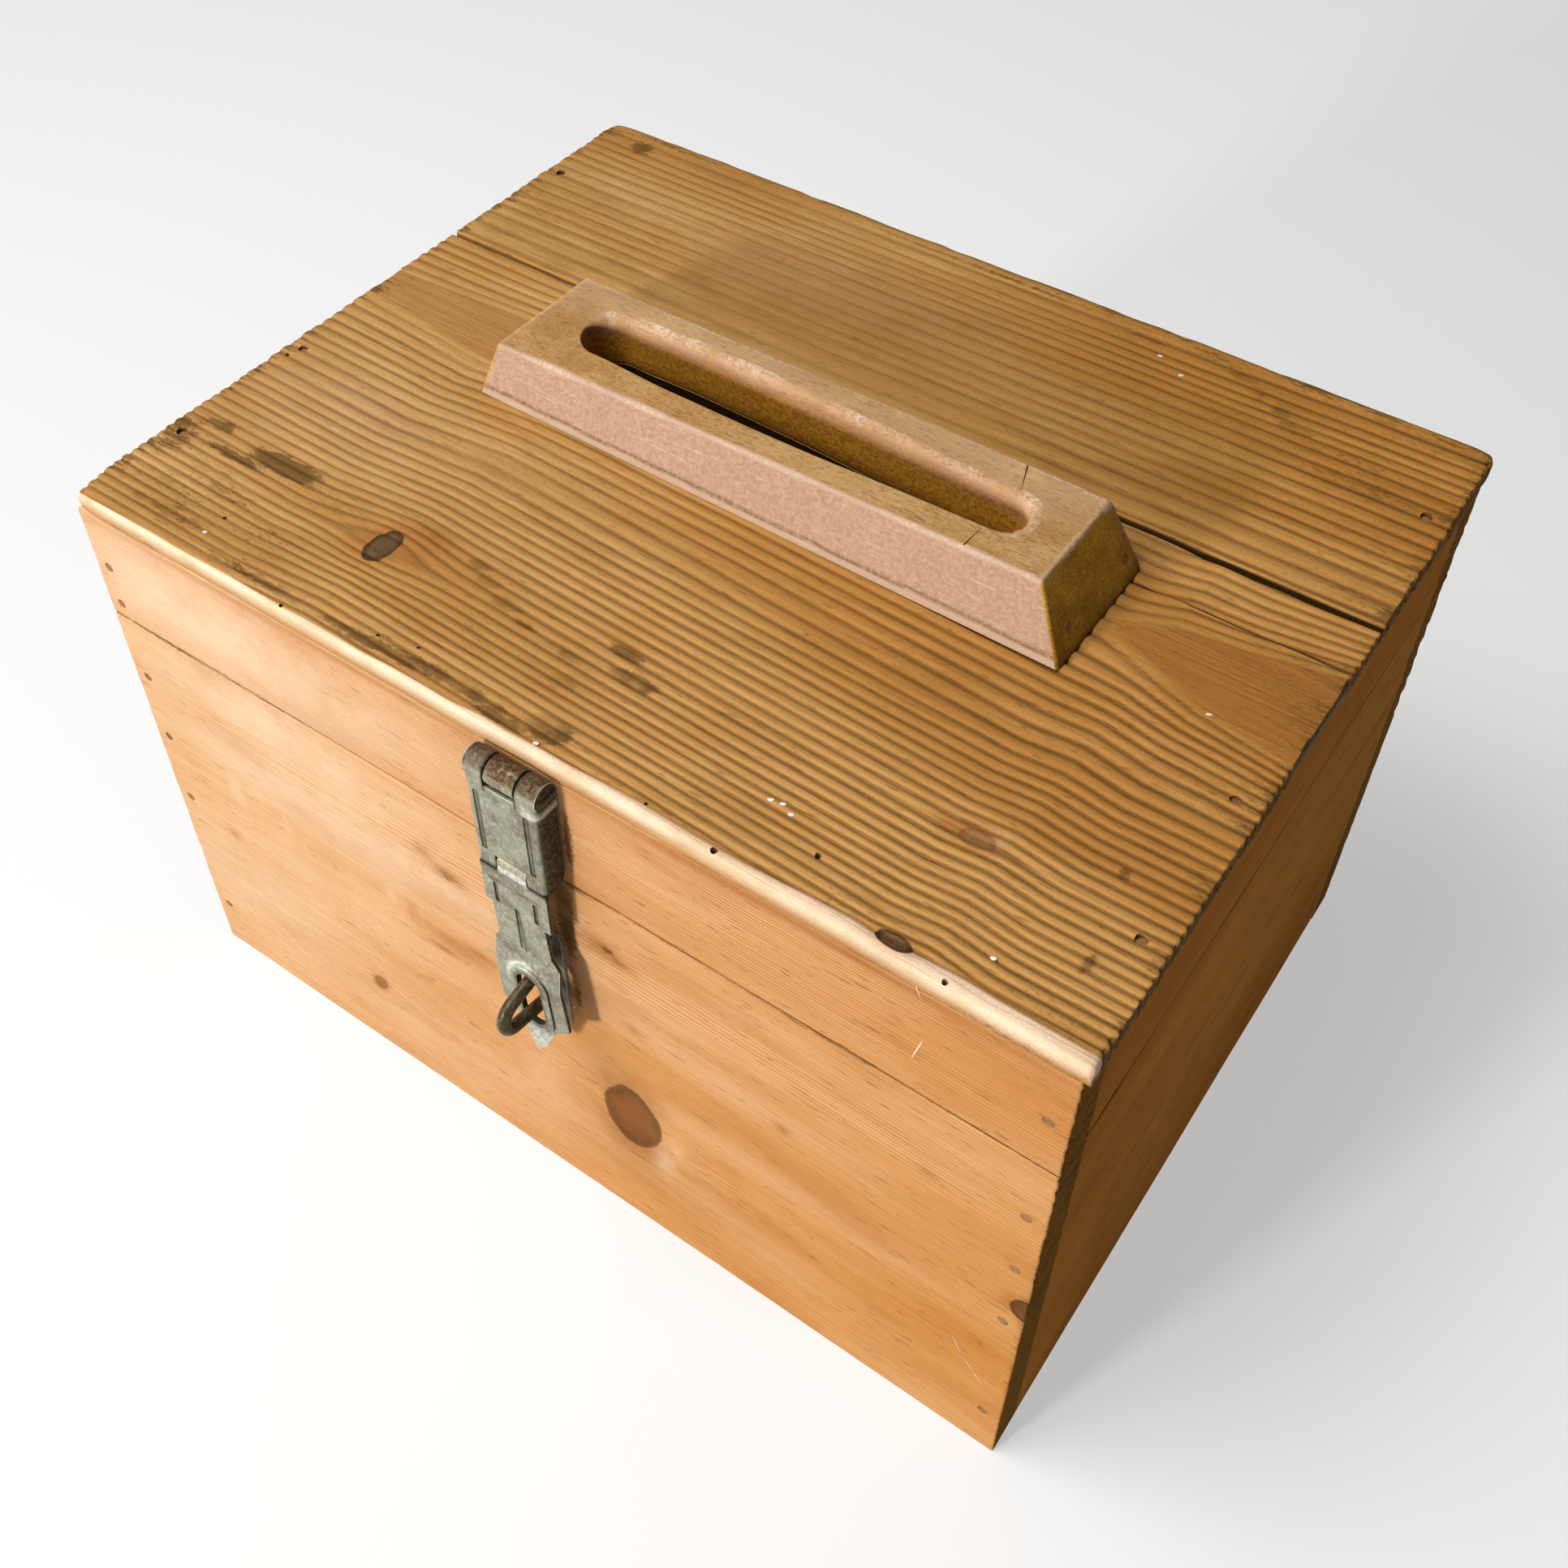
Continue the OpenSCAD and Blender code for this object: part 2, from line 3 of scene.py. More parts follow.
import math
from types import SimpleNamespace
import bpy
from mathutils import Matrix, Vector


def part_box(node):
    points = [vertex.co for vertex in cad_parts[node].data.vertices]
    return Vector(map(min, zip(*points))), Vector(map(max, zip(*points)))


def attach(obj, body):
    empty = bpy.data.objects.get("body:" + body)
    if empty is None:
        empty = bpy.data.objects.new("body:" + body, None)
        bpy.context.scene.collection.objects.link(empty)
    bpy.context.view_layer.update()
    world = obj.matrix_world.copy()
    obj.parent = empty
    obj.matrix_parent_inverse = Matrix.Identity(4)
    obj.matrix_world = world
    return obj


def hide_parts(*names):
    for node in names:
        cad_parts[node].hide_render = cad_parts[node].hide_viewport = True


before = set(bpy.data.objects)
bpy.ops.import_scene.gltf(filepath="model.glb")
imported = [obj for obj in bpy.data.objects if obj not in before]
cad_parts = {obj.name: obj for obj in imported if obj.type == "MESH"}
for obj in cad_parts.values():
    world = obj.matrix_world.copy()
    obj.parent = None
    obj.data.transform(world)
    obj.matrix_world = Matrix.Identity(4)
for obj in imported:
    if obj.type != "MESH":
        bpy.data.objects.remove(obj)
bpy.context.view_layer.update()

import bmesh
import bpy
import numpy as np
from mathutils import Matrix, Vector

MM = 0.001
X, Y, Z = 0, 1, 2


# ---- smooth random fields --------------------------------------------------------------


def lattice(ix, iy, seed):
    """A repeatable random number from -1 to 1 for each whole-number place."""
    n = (ix * 374761393 + iy * 668265263 + seed * 144665) & 0x7FFFFFFF
    n = ((n ^ (n >> 13)) * 1274126177) & 0x7FFFFFFF
    return ((n ^ (n >> 16)) & 0xFFFF) / 32767.5 - 1.0


def noise(x, y, seed):
    """Smooth noise from -1 to 1, with about one bump per unit of x and y."""
    ix = np.floor(x).astype(np.int64)
    iy = np.floor(y).astype(np.int64)
    fx = x - ix
    fy = y - iy
    fx = fx * fx * (3 - 2 * fx)
    fy = fy * fy * (3 - 2 * fy)
    low = lattice(ix, iy, seed) * (1 - fx) + lattice(ix + 1, iy, seed) * fx
    high = lattice(ix, iy + 1, seed) * (1 - fx) + lattice(ix + 1, iy + 1, seed) * fx
    return low * (1 - fy) + high * fy


def fractal(x, y, seed, octaves=3):
    """Noise with finer and fainter copies of itself added."""
    total = 0.0
    for k in range(octaves):
        total = total + noise(x * 2**k, y * 2**k, seed + k) / 2**k
    return total / (2 - 2 ** (1 - octaves))


def step(low, high, value):
    """0 below low, 1 above high, smooth between."""
    t = np.clip((value - low) / (high - low), 0, 1)
    return t * t * (3 - 2 * t)


def bump(value, centre, width):
    """A soft bump of height 1."""
    return np.exp(-(((value - centre) / width) ** 2))


# ---- meshes ----------------------------------------------------------------------------


def add_fields(mesh, fields):
    """Stores a number for every point of the mesh under each field's name."""
    for field, values in fields.items():
        mesh.attributes.new(field, "FLOAT", "POINT").data.foreach_set("value", values)


def shown(name, data):
    """A new object in the scene with this mesh, lamp or camera."""
    thing = bpy.data.objects.new(name, data)
    bpy.context.scene.collection.objects.link(thing)
    return thing


def new_piece(name, points, faces, fields=None):
    """A smooth-shaded mesh object with a number for every point under each field's name."""
    mesh = bpy.data.meshes.new(name)
    mesh.from_pydata(np.asarray(points).tolist(), [], faces if isinstance(faces, list) else faces.tolist())
    add_fields(mesh, fields or {})
    return shown(name, mesh)


def settle(piece):
    """The piece's modifiers applied, and its shading made smooth between its sharp edges."""
    graph = bpy.context.evaluated_depsgraph_get()
    graph.update()
    mesh = bpy.data.meshes.new_from_object(piece.evaluated_get(graph))
    piece.modifiers.clear()
    piece.data = mesh
    mesh.shade_smooth()
    mesh.set_sharp_from_angle(angle=math.radians(50))


def spaced(lo, hi, pitch, fine=0.4 * MM, border=2.4 * MM):
    """Grid lines from lo to hi, finer near both ends."""
    near = np.arange(0, border - fine / 2, fine)
    middle = np.linspace(lo + border, hi - border, max(2, round((hi - lo - 2 * border) / pitch)))
    return np.concatenate([lo + near, middle, (hi - near)[::-1]])


def grid_box(lines):
    """Points and quads of a box's skin, divided at the given x, y and z lines."""
    points, quads, count = [], [], 0
    for axis in range(3):
        u = (axis + 1) % 3
        v = (axis + 2) % 3
        for end in (0, -1):
            gu, gv = np.meshgrid(lines[u], lines[v], indexing="ij")
            sheet = np.empty(gu.shape + (3,))
            sheet[..., axis] = lines[axis][end]
            sheet[..., u] = gu
            sheet[..., v] = gv
            index = np.arange(gu.size).reshape(gu.shape) + count
            quad = np.stack([index[:-1, :-1], index[1:, :-1], index[1:, 1:], index[:-1, 1:]], -1)
            quads.append(quad.reshape(-1, 4)[:, :: -1 if end == 0 else 1])
            points.append(sheet.reshape(-1, 3))
            count += gu.size
    points = np.vstack(points)
    keys = np.round(points * 1e7).astype(np.int64)
    _, first, inverse = np.unique(keys, axis=0, return_index=True, return_inverse=True)
    return points[first], inverse.reshape(-1)[np.vstack(quads)]


def soften(points, lo, hi, radius):
    """Points of a box's skin pulled in round its edges, and the way out of the box at each."""
    radius = radius[:, None]
    core = np.clip(points, lo + radius, hi - radius)
    out = points - core
    out /= np.linalg.norm(out, axis=1, keepdims=True)
    return core + out * radius, out


def loft(rings):
    """Points and faces of a closed solid through equal rings of points, from its top down."""
    count = len(rings[0])
    last = (len(rings) - 1) * count
    faces = [list(range(count)), [last + k for k in reversed(range(count))]]
    for row in range(len(rings) - 1):
        for k in range(count):
            a = row * count + k
            b = row * count + (k + 1) % count
            faces.append([a, a + count, b + count, b])
    return [point for ring in rings for point in ring], faces


def joined(solids):
    """Several solids' points and faces as one list of points and one of faces."""
    points, faces = [], []
    for more_points, more_faces in solids:
        faces += [[len(points) + k for k in face] for face in more_faces]
        points += [tuple(point) for point in more_points]
    return points, faces


def hole(place, out, profile, segments=20):
    """A cutter for a turned hole that goes in at place against out, from (radius, height) pairs."""
    turn = np.linspace(0, 2 * math.pi, segments, endpoint=False)
    points, faces = loft([[(r * math.cos(a), r * math.sin(a), z) for a in turn] for r, z in profile])
    aim = Matrix.Translation(Vector(place)) @ Vector(out).to_track_quat("Z", "Y").to_matrix().to_4x4()
    return [aim @ Vector(point) for point in points], faces


def crack(start, end, width, depth, above=2 * MM):
    """A cutter for a thin wedge-shaped crack in a top face, tapering towards its start."""
    start, end, up = Vector(start), Vector(end), Vector((0, 0, 1))
    side = (end - start).cross(up).normalized() / 2
    rings = []
    for place, wide in ((start, width * 0.3), (end, width)):
        outline = ((-wide, above), (wide, above), (wide, -0.6 * depth), (0, -depth), (-wide, -0.6 * depth))
        rings.append([place + side * across + up * rise for across, rise in outline])
    return loft(rings)


def numbers(mesh, field):
    """The values of a mesh's field."""
    values = np.zeros(len(mesh.vertices))
    mesh.attributes[field].data.foreach_get("value", values)
    return values


def vectors(mesh, kind):
    """The places ("co") or normals ("normal") of a mesh's points."""
    flat = np.zeros(len(mesh.vertices) * 3)
    mesh.vertices.foreach_get(kind, flat)
    return flat.reshape(-1, 3)


def heal(mesh, old_places, old_fields):
    """Gives the points that the saw made on the skin the fields of the nearest point before it."""
    now = vectors(mesh, "co")
    made = np.flatnonzero((numbers(mesh, "skin") < 0.5) & (numbers(mesh, "cut") < 0.5))
    nearest = [int(((old_places - now[k]) ** 2).sum(1).argmin()) for k in made]
    for field, old_values in old_fields.items():
        values = numbers(mesh, field)
        values[made] = old_values[nearest]
        mesh.attributes[field].data.foreach_set("value", values)


def cut(piece, cutters):
    """Takes the cutters, which don't touch each other, out of the piece."""
    points, faces = joined(cutters)
    mesh = bpy.data.meshes.new("cutter")
    mesh.from_pydata(points, [], faces)
    # the cutter's faces become the walls of the holes and cracks, and are marked for painted shade
    add_fields(mesh, {"cut": np.ones(len(points))})
    skin = piece.data
    if "cut" not in skin.attributes:
        skin.attributes.new("cut", "FLOAT", "POINT")
    add_fields(skin, {"skin": np.ones(len(skin.vertices))})
    old_places = vectors(skin, "co")
    fields = [a.name for a in skin.attributes if a.data_type == "FLOAT" and a.name != "skin"]
    old_fields = {field: numbers(skin, field) for field in fields}
    work = bmesh.new()
    work.from_mesh(mesh)
    bmesh.ops.recalc_face_normals(work, faces=work.faces)
    work.to_mesh(mesh)
    work.free()
    tool = shown("cutter", mesh)
    saw = piece.modifiers.new("cut", "BOOLEAN")
    saw.operation = "DIFFERENCE"
    saw.solver = "MANIFOLD"
    saw.object = tool
    settle(piece)
    bpy.data.objects.remove(tool)
    heal(piece.data, old_places, old_fields)


def welded(node):
    """A CAD node's mesh as an open bmesh with its doubled points joined."""
    work = bmesh.new()
    work.from_mesh(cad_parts[node].data)
    bmesh.ops.remove_doubles(work, verts=work.verts, dist=1e-6)
    return work


def islands(node):
    """The points of each separate solid of a CAD node, as arrays."""
    work = welded(node)
    left = set(work.verts)
    found = []
    while left:
        group, edge = set(), [left.pop()]
        while edge:
            vert = edge.pop()
            group.add(vert)
            for link in vert.link_edges:
                other = link.other_vert(vert)
                if other in left:
                    left.remove(other)
                    edge.append(other)
        found.append(np.array([v.co for v in group]))
    work.free()
    return sorted(found, key=lambda p: tuple(np.round(p.mean(0), 5)))


def fasteners(node):
    """(top of the head, way out of the wood, length) of each nail or screw in a CAD node."""
    found = []
    for points in islands(node):
        centre = points.mean(0)
        axis = np.linalg.svd(points - centre, full_matrices=False)[2][0]
        along = (points - centre) @ axis
        wide = np.linalg.norm((points - centre) - np.outer(along, axis), axis=1)
        if along[wide.argmax()] < 0:
            axis, along = -axis, -along
        middle = (points[along > along.max() - 0.1 * MM]).mean(0)
        found.append((middle, axis, along.max() - along.min()))
    return found


NAIL_HOLE_R = 1.8 * MM
NAIL_SHANK_R = 1.15 * MM
NAIL_HEAD_T = 0.95 * MM


def nail_holes(node, keep=lambda place: True, proud=2 * MM):
    """Cutters for the holes that the node's nails sit in, for nails whose place keep accepts."""
    cutters = []
    for place, out, length in fasteners(node):
        if keep(place):
            shank_end = -length - 0.3 * MM
            profile = [(NAIL_HOLE_R, proud), (NAIL_HOLE_R, -NAIL_HEAD_T),
                       (NAIL_SHANK_R, -NAIL_HEAD_T), (NAIL_SHANK_R, shank_end)]
            cutters.append(hole(place, out, profile))
    return cutters


# ---- materials -------------------------------------------------------------------------


class Nodes:
    """Lays out the nodes of one material."""

    def __init__(self, name):
        self.material = bpy.data.materials.new(name)
        self.material.use_nodes = True
        self.tree = self.material.node_tree
        self.shader = self.tree.nodes["Principled BSDF"]
        self.place = self.add("ShaderNodeTexCoord").outputs["Object"]

    def add(self, kind, **settings):
        """A new node of this kind."""
        node = self.tree.nodes.new(kind)
        for key, value in settings.items():
            setattr(node, key, value)
        return node

    def put(self, socket, value):
        """Feeds the socket from another socket, or sets its number or colour."""
        if isinstance(value, bpy.types.NodeSocket):
            self.tree.links.new(value, socket)
        elif isinstance(value, tuple) and len(value) == 3 and len(socket.default_value) == 4:
            socket.default_value = (*value, 1)
        else:
            socket.default_value = value

    def math(self, operation, a, b=0.0, clamp=False):
        """The result of the operation on a and b."""
        node = self.add("ShaderNodeMath", operation=operation, use_clamp=clamp)
        self.put(node.inputs[0], a)
        self.put(node.inputs[1], b)
        return node.outputs[0]

    def mix(self, share, a, b, blend="MIX"):
        """Colour a with a share of colour b."""
        node = self.add("ShaderNodeMix", data_type="RGBA", blend_type=blend)
        self.put(node.inputs[0], share)
        self.put(node.inputs[6], a)
        self.put(node.inputs[7], b)
        return node.outputs[2]

    def field(self, name):
        """The mesh's numbers under this name."""
        return self.add("ShaderNodeAttribute", attribute_name=name).outputs["Fac"]

    def noise(self, scale, detail=2.0, roughness=0.5, shift=0.0):
        """Noise with the given bumps per metre along x, y and z."""
        mapping = self.add("ShaderNodeMapping")
        self.put(mapping.inputs["Vector"], self.place)
        mapping.inputs["Scale"].default_value = scale
        mapping.inputs["Location"].default_value = (shift, shift * 1.7, shift * 2.3)
        node = self.add("ShaderNodeTexNoise")
        self.put(node.inputs["Vector"], mapping.outputs[0])
        node.inputs["Scale"].default_value = 1.0
        node.inputs["Detail"].default_value = detail
        node.inputs["Roughness"].default_value = roughness
        return node.outputs["Fac"]

    def span(self, value, low, high, new_low=0.0, new_high=1.0):
        """value, taken from low..high to new_low..new_high and held there."""
        node = self.add("ShaderNodeMapRange", interpolation_type="SMOOTHSTEP")
        for socket, number in zip(node.inputs, (value, low, high, new_low, new_high)):
            self.put(socket, number)
        return node.outputs[0]

    def patchy(self, field, value, *span):
        """A field times value, which is taken through span."""
        return self.math("MULTIPLY", self.field(field), self.span(value, *span))

    def finished(self, colour, roughness, specular, layers):
        """The material with this look, and with bumps from (height, depth in metres) pairs."""
        normal = None
        for height, depth in layers:
            node = self.add("ShaderNodeBump")
            node.inputs["Distance"].default_value = depth
            self.put(node.inputs["Height"], height)
            if normal is not None:
                self.put(node.inputs["Normal"], normal)
            normal = node.outputs[0]
        self.put(self.shader.inputs["Normal"], normal)
        self.put(self.shader.inputs["Base Color"], colour)
        self.put(self.shader.inputs["Roughness"], roughness)
        self.shader.inputs["Specular IOR Level"].default_value = specular
        return self.material


GRIME_AND_SHADE = (0.075, 0.036, 0.009)
PALE_WOOD = (0.78, 0.57, 0.40)
RESIN_RED = (0.25, 0.080, 0.018)
KNOT_RIM = (0.040, 0.018, 0.008)
KNOT_SHADES = [(0.36, 0.170, 0.060), (0.17, 0.060, 0.020), (0.095, 0.062, 0.032)]
END_GRAIN = ((0.20, 0.105, 0.022), (0.075, 0.036, 0.008))
# painted shade inside cracks, holes and the gap between the top boards
PAINTED_HOLLOW_SHADE = (0.022, 0.010, 0.003)


def along_grain(grain, along, across):
    """Noise scale: along bumps per metre down the grain, across bumps per metre over it."""
    return tuple(along if axis == grain else across for axis in (X, Y, Z))


def knots(n, colour, rows, wander):
    """The colour with knots: each has a centre, three radii, a turn in radians and a darkness."""
    for centre, radii, turn, darkness in rows:
        mapping = n.add("ShaderNodeMapping", vector_type="TEXTURE")
        n.put(mapping.inputs["Vector"], n.place)
        mapping.inputs["Location"].default_value = [v * MM for v in centre]
        mapping.inputs["Rotation"].default_value = turn
        mapping.inputs["Scale"].default_value = [v * MM for v in radii]
        reach = n.add("ShaderNodeVectorMath", operation="LENGTH")
        n.put(reach.inputs[0], mapping.outputs[0])
        far = n.math("ADD", reach.outputs["Value"], n.span(wander, 0.3, 0.7, -0.13, 0.13))
        core = tuple(float(np.interp(darkness, (0, 0.4, 1), shades)) for shades in zip(*KNOT_SHADES))
        halo = n.math("MULTIPLY", n.span(far, 1.0, 2.1, 0.55, 0.0), n.span(wander, 0.35, 0.6))
        colour = n.mix(halo, colour, RESIN_RED)
        colour = n.mix(n.span(far, 1.0, 1.12, min(1, 0.35 + 1.2 * darkness), 0.0), colour, KNOT_RIM)
        colour = n.mix(n.span(far, 0.60, 0.88, 0.92, 0.0), colour, core)
        cloud = n.math("MULTIPLY", n.span(far, 0.85, 1.0, 0.7, 0.0), n.span(wander, 0.42, 0.58))
        colour = n.mix(cloud, colour, tuple(c * 0.55 for c in core))
    return colour


def pine(name, light, late, amber, deep, grain=X, late_share=0.5, shift=0.0, end_grain=END_GRAIN,
         specular=0.0, warm=(1.0, 0.88, 0.62), knot_rows=()):
    """Old pine with growth rings, fibres, resin flecks, grime, knots and end grain, and painted shade
    beside the hasp and in holes, cracks and gaps.
    """
    n = Nodes(name)
    fibres = n.noise(along_grain(grain, 30, 1500), 3, 0.65, shift)
    streaks = n.noise(along_grain(grain, 5, 160), 3, 0.6, shift)
    tone = n.noise(along_grain(grain, 4, 16), 3, 0.6, shift)
    blotches = n.noise(along_grain(grain, 16, 48), 3, 0.6, shift + 9)
    flecks = n.noise(along_grain(grain, 120, 1000), 1, 0.5, shift + 3)
    patches = n.noise((30, 30, 30), 4, 0.65, shift + 7)
    specks = n.noise(along_grain(grain, 420, 1300), 4, 0.75, shift + 5)
    dust = n.noise((2400, 2400, 2400), 2, 0.6, shift + 2)

    count = n.math("ADD", n.field("ring"), n.span(streaks, 0.3, 0.7, -0.18, 0.18))
    phase = n.math("FRACT", count)
    latewood = n.math("MULTIPLY", n.span(phase, 0.25, 0.9), n.span(phase, 0.93, 1.0, 1.0, 0.0))

    share = n.math("MULTIPLY", latewood, n.span(streaks, 0.25, 0.75, 0.35, 1.0))
    colour = n.mix(n.math("MULTIPLY", share, late_share), light, late)
    colour = n.mix(n.span(tone, 0.38, 0.62, 0.0, 0.85), colour, amber)
    colour = n.mix(n.span(blotches, 0.5, 0.7, 0.0, 0.4), colour, late)
    colour = n.mix(n.span(blotches, 0.46, 0.3, 0.0, 0.35), colour, light)
    colour = n.mix(n.span(fibres, 0.35, 0.75, 0.0, 0.5), colour, late)
    colour = n.mix(n.span(flecks, 0.66, 0.75, 0.0, 0.5), colour, deep)
    colour = n.mix(n.field("warm"), colour, warm, "MULTIPLY")
    colour = n.mix(n.patchy("pale", patches, 0.3, 0.6, 0.55, 1.0), colour, PALE_WOOD)
    colour = n.mix(n.patchy("red", streaks, 0.3, 0.7, 0.5, 1.0), colour, RESIN_RED)
    colour = n.mix(n.patchy("deep", specks, 0.3, 0.62, 0.55, 1.0), colour, deep)
    colour = knots(n, colour, knot_rows, patches)
    end = n.mix(n.span(specks, 0.35, 0.65), *end_grain)
    end = n.mix(n.math("MULTIPLY", latewood, 0.5), end, end_grain[1])
    colour = n.mix(n.math("MULTIPLY", n.field("end"), 0.95), colour, end)
    # grime, and the shade painted with it, lies in fine streaks, thickest where the specks are darkest
    grimy_and_shaded = n.math("SUBTRACT", n.math("MULTIPLY", n.field("dirt_and_shade"), 0.95), specks)
    grimy_and_shaded = n.math("MULTIPLY", n.span(grimy_and_shaded, -0.12, 0.16), n.span(patches, 0.34, 0.56, 0.35, 1.0))
    colour = n.mix(n.math("MULTIPLY", grimy_and_shaded, 0.85), colour, GRIME_AND_SHADE)
    colour = n.mix(n.span(dust, 0.35, 0.7, 0.0, 0.28), colour, late)
    # painted shade in holes, cracks and the gap between the top boards
    colour = n.mix(n.field("cut"), colour, PAINTED_HOLLOW_SHADE)
    layers = [(fibres, 0.10 * MM), (latewood, 0.10 * MM), (specks, 0.12 * MM), (dust, 0.03 * MM)]
    return n.finished(colour, n.span(patches, 0.3, 0.7, 0.5, 0.7), specular, layers)


def beech(name):
    """Beech with short dark flecks, rough end grain, worn edges, a slot that darkens towards its floor,
    and painted shade in its holes and cracks.
    """
    n = Nodes(name)
    fibres = n.noise((40, 1300, 1300), 3, 0.6)
    flecks = n.noise((330, 1500, 1500), 2, 0.5, 5)
    tone = n.noise((9, 40, 40), 3, 0.6, 2)
    pores = n.noise((1300, 1300, 1300), 3, 0.65, 8)
    patches = n.noise((40, 40, 40), 4, 0.65, 4)
    mottle = n.noise((700, 700, 700), 4, 0.7, 6)
    scratches = n.noise((60, 60, 1500), 3, 0.7, 7)
    colour = n.mix(n.span(tone, 0.35, 0.68), (0.45, 0.260, 0.105), (0.34, 0.175, 0.055))
    colour = n.mix(n.span(mottle, 0.48, 0.62, 0.0, 0.5), colour, (0.26, 0.135, 0.040))
    colour = n.mix(n.span(mottle, 0.44, 0.34, 0.0, 0.4), colour, (0.56, 0.370, 0.190))
    colour = n.mix(n.span(patches, 0.45, 0.65, 0.0, 0.4), colour, (0.55, 0.345, 0.160))
    colour = n.mix(n.span(fibres, 0.35, 0.75, 0.0, 0.4), colour, (0.27, 0.130, 0.035))
    colour = n.mix(n.span(flecks, 0.56, 0.68, 0.0, 0.55), colour, (0.15, 0.062, 0.015))
    skin = n.mix(n.span(mottle, 0.35, 0.65), (0.43, 0.275, 0.185), (0.34, 0.205, 0.130))
    skin = n.mix(n.span(scratches, 0.58, 0.72, 0.0, 0.6), skin, (0.60, 0.42, 0.29))
    colour = n.mix(n.field("pink"), colour, skin)
    end = n.mix(n.span(pores, 0.35, 0.65), (0.36, 0.165, 0.012), (0.56, 0.300, 0.040))
    end = n.mix(n.span(patches, 0.4, 0.65, 0.0, 0.65), end, (0.19, 0.085, 0.006))
    end = n.mix(n.span(scratches, 0.62, 0.72, 0.0, 0.5), end, (0.52, 0.36, 0.16))
    colour = n.mix(n.math("MULTIPLY", n.field("end"), 0.97), colour, end)
    # the slot's walls darken to nearly black towards its floor
    wall = n.mix(n.span(mottle, 0.35, 0.65), (0.56, 0.250, 0.030), (0.32, 0.125, 0.012))
    wall = n.mix(n.span(n.field("inside"), 0.40, 0.85), wall, (0.040, 0.014, 0.002))
    colour = n.mix(n.span(n.field("inside"), 0.03, 0.28), colour, wall)
    colour = n.mix(n.patchy("blush", mottle, 0.35, 0.62, 0.25, 1.0), colour, (0.38, 0.180, 0.110))
    colour = n.mix(n.patchy("pale", mottle, 0.38, 0.60, 0.10, 1.0), colour, (0.62, 0.48, 0.36))
    colour = n.mix(n.patchy("dirt_and_shade", mottle, 0.3, 0.6, 0.5, 1.0), colour, (0.115, 0.062, 0.016))
    # painted shade in the nail holes and cracks
    colour = n.mix(n.field("cut"), colour, PAINTED_HOLLOW_SHADE)
    layers = [(fibres, 0.07 * MM), (flecks, 0.10 * MM), (mottle, 0.10 * MM), (pores, 0.04 * MM)]
    return n.finished(colour, n.span(patches, 0.3, 0.7, 0.5, 0.68), 0.02, layers)


def steel(name, base, worn, rust, rust_share, metallic, roughness):
    """Old sheet steel: dull coat, worn to bright metal on its edges and rusty in its hollows; its
    near-black grime also paints shade, and its wear a few highlights.
    """
    n = Nodes(name)
    patches = n.noise((130, 130, 130), 4, 0.65)
    spots = n.noise((700, 700, 700), 3, 0.6, 4)
    pits = n.noise((2200, 2200, 2200), 2, 0.6, 9)
    colour = n.mix(n.span(patches, 0.35, 0.65), base, tuple(c * 0.62 for c in base))
    colour = n.mix(n.span(spots, 0.45, 0.7, 0.0, 0.35), colour, worn)
    stain = n.math("ADD", n.field("rust"), n.span(patches, 0.52, 0.68, 0.0, rust_share))
    stain = n.math("MULTIPLY", stain, n.span(spots, 0.3, 0.6, 0.4, 1.0), clamp=True)
    colour = n.mix(stain, colour, n.mix(n.span(pits, 0.4, 0.6), rust, KNOT_RIM))
    # near-black grime, which also paints shade in gaps, grooves and hollows
    colour = n.mix(n.patchy("grime_and_shade", spots, 0.25, 0.6, 0.6, 1.0), colour, (0.022, 0.016, 0.008))
    colour = n.mix(n.patchy("wear", spots, 0.3, 0.6, 0.45, 1.0), colour, worn)
    n.put(n.shader.inputs["Metallic"], n.span(n.field("grime_and_shade"), 0.0, 0.7, metallic, 0.0))
    rough = n.span(spots, 0.3, 0.7, roughness - 0.08, roughness + 0.14)
    return n.finished(colour, rough, 0.08, [(patches, 0.15 * MM), (spots, 0.05 * MM), (pits, 0.03 * MM)])


def chalky(name, colour):
    """A dry, mottled, pale coat or scar."""
    n = Nodes(name)
    grains = n.noise((1500, 1500, 1500), 3, 0.6)
    stains = n.noise((300, 300, 300), 3, 0.6, 3)
    shaded = n.mix(n.span(stains, 0.3, 0.7), colour, tuple(c * 0.75 for c in colour))
    return n.finished(shaded, n.span(grains, 0.3, 0.7, 0.6, 0.85), 0.5, [(grains, 0.05 * MM)])


# knots of the front: centre and radii in mm, turn, darkness
FRONT_KNOTS = [
    ((33.5, -131, 68.5), (10.6, 40, 18.5), (0, 0.06, 0), 0.36),
    ((-86.5, -131, 45.5), (3.0, 40, 4.4), (0, 0.5, 0), 0.10),
    ((181, -131, 106.5), (6.5, 40, 6.0), (0, 0, 0), 0.45),
]
TOP_KNOTS = [
    ((-81.5, -100.5, 237), (4.3, 7.2, 30), (0, 0, 0), 1.0),
    ((124, -94, 237), (5.2, 3.2, 30), (0, 0, 0.1), 0.05),
    ((123.5, -134, 237), (5.0, 2.2, 30), (0, 0, 0), 0.9),
]
FRONT_PINE = pine("pine_front", (0.66, 0.400, 0.205), (0.38, 0.155, 0.044), (0.52, 0.265, 0.095),
                  (0.10, 0.04, 0.012), late_share=0.85, warm=(0.93, 0.78, 0.50), knot_rows=FRONT_KNOTS)
RAIL_PINE = pine("pine_rail", (0.62, 0.365, 0.175), (0.37, 0.145, 0.040), (0.52, 0.245, 0.085),
                 (0.10, 0.04, 0.012), late_share=0.85, shift=4.0, warm=(0.92, 0.84, 0.68))
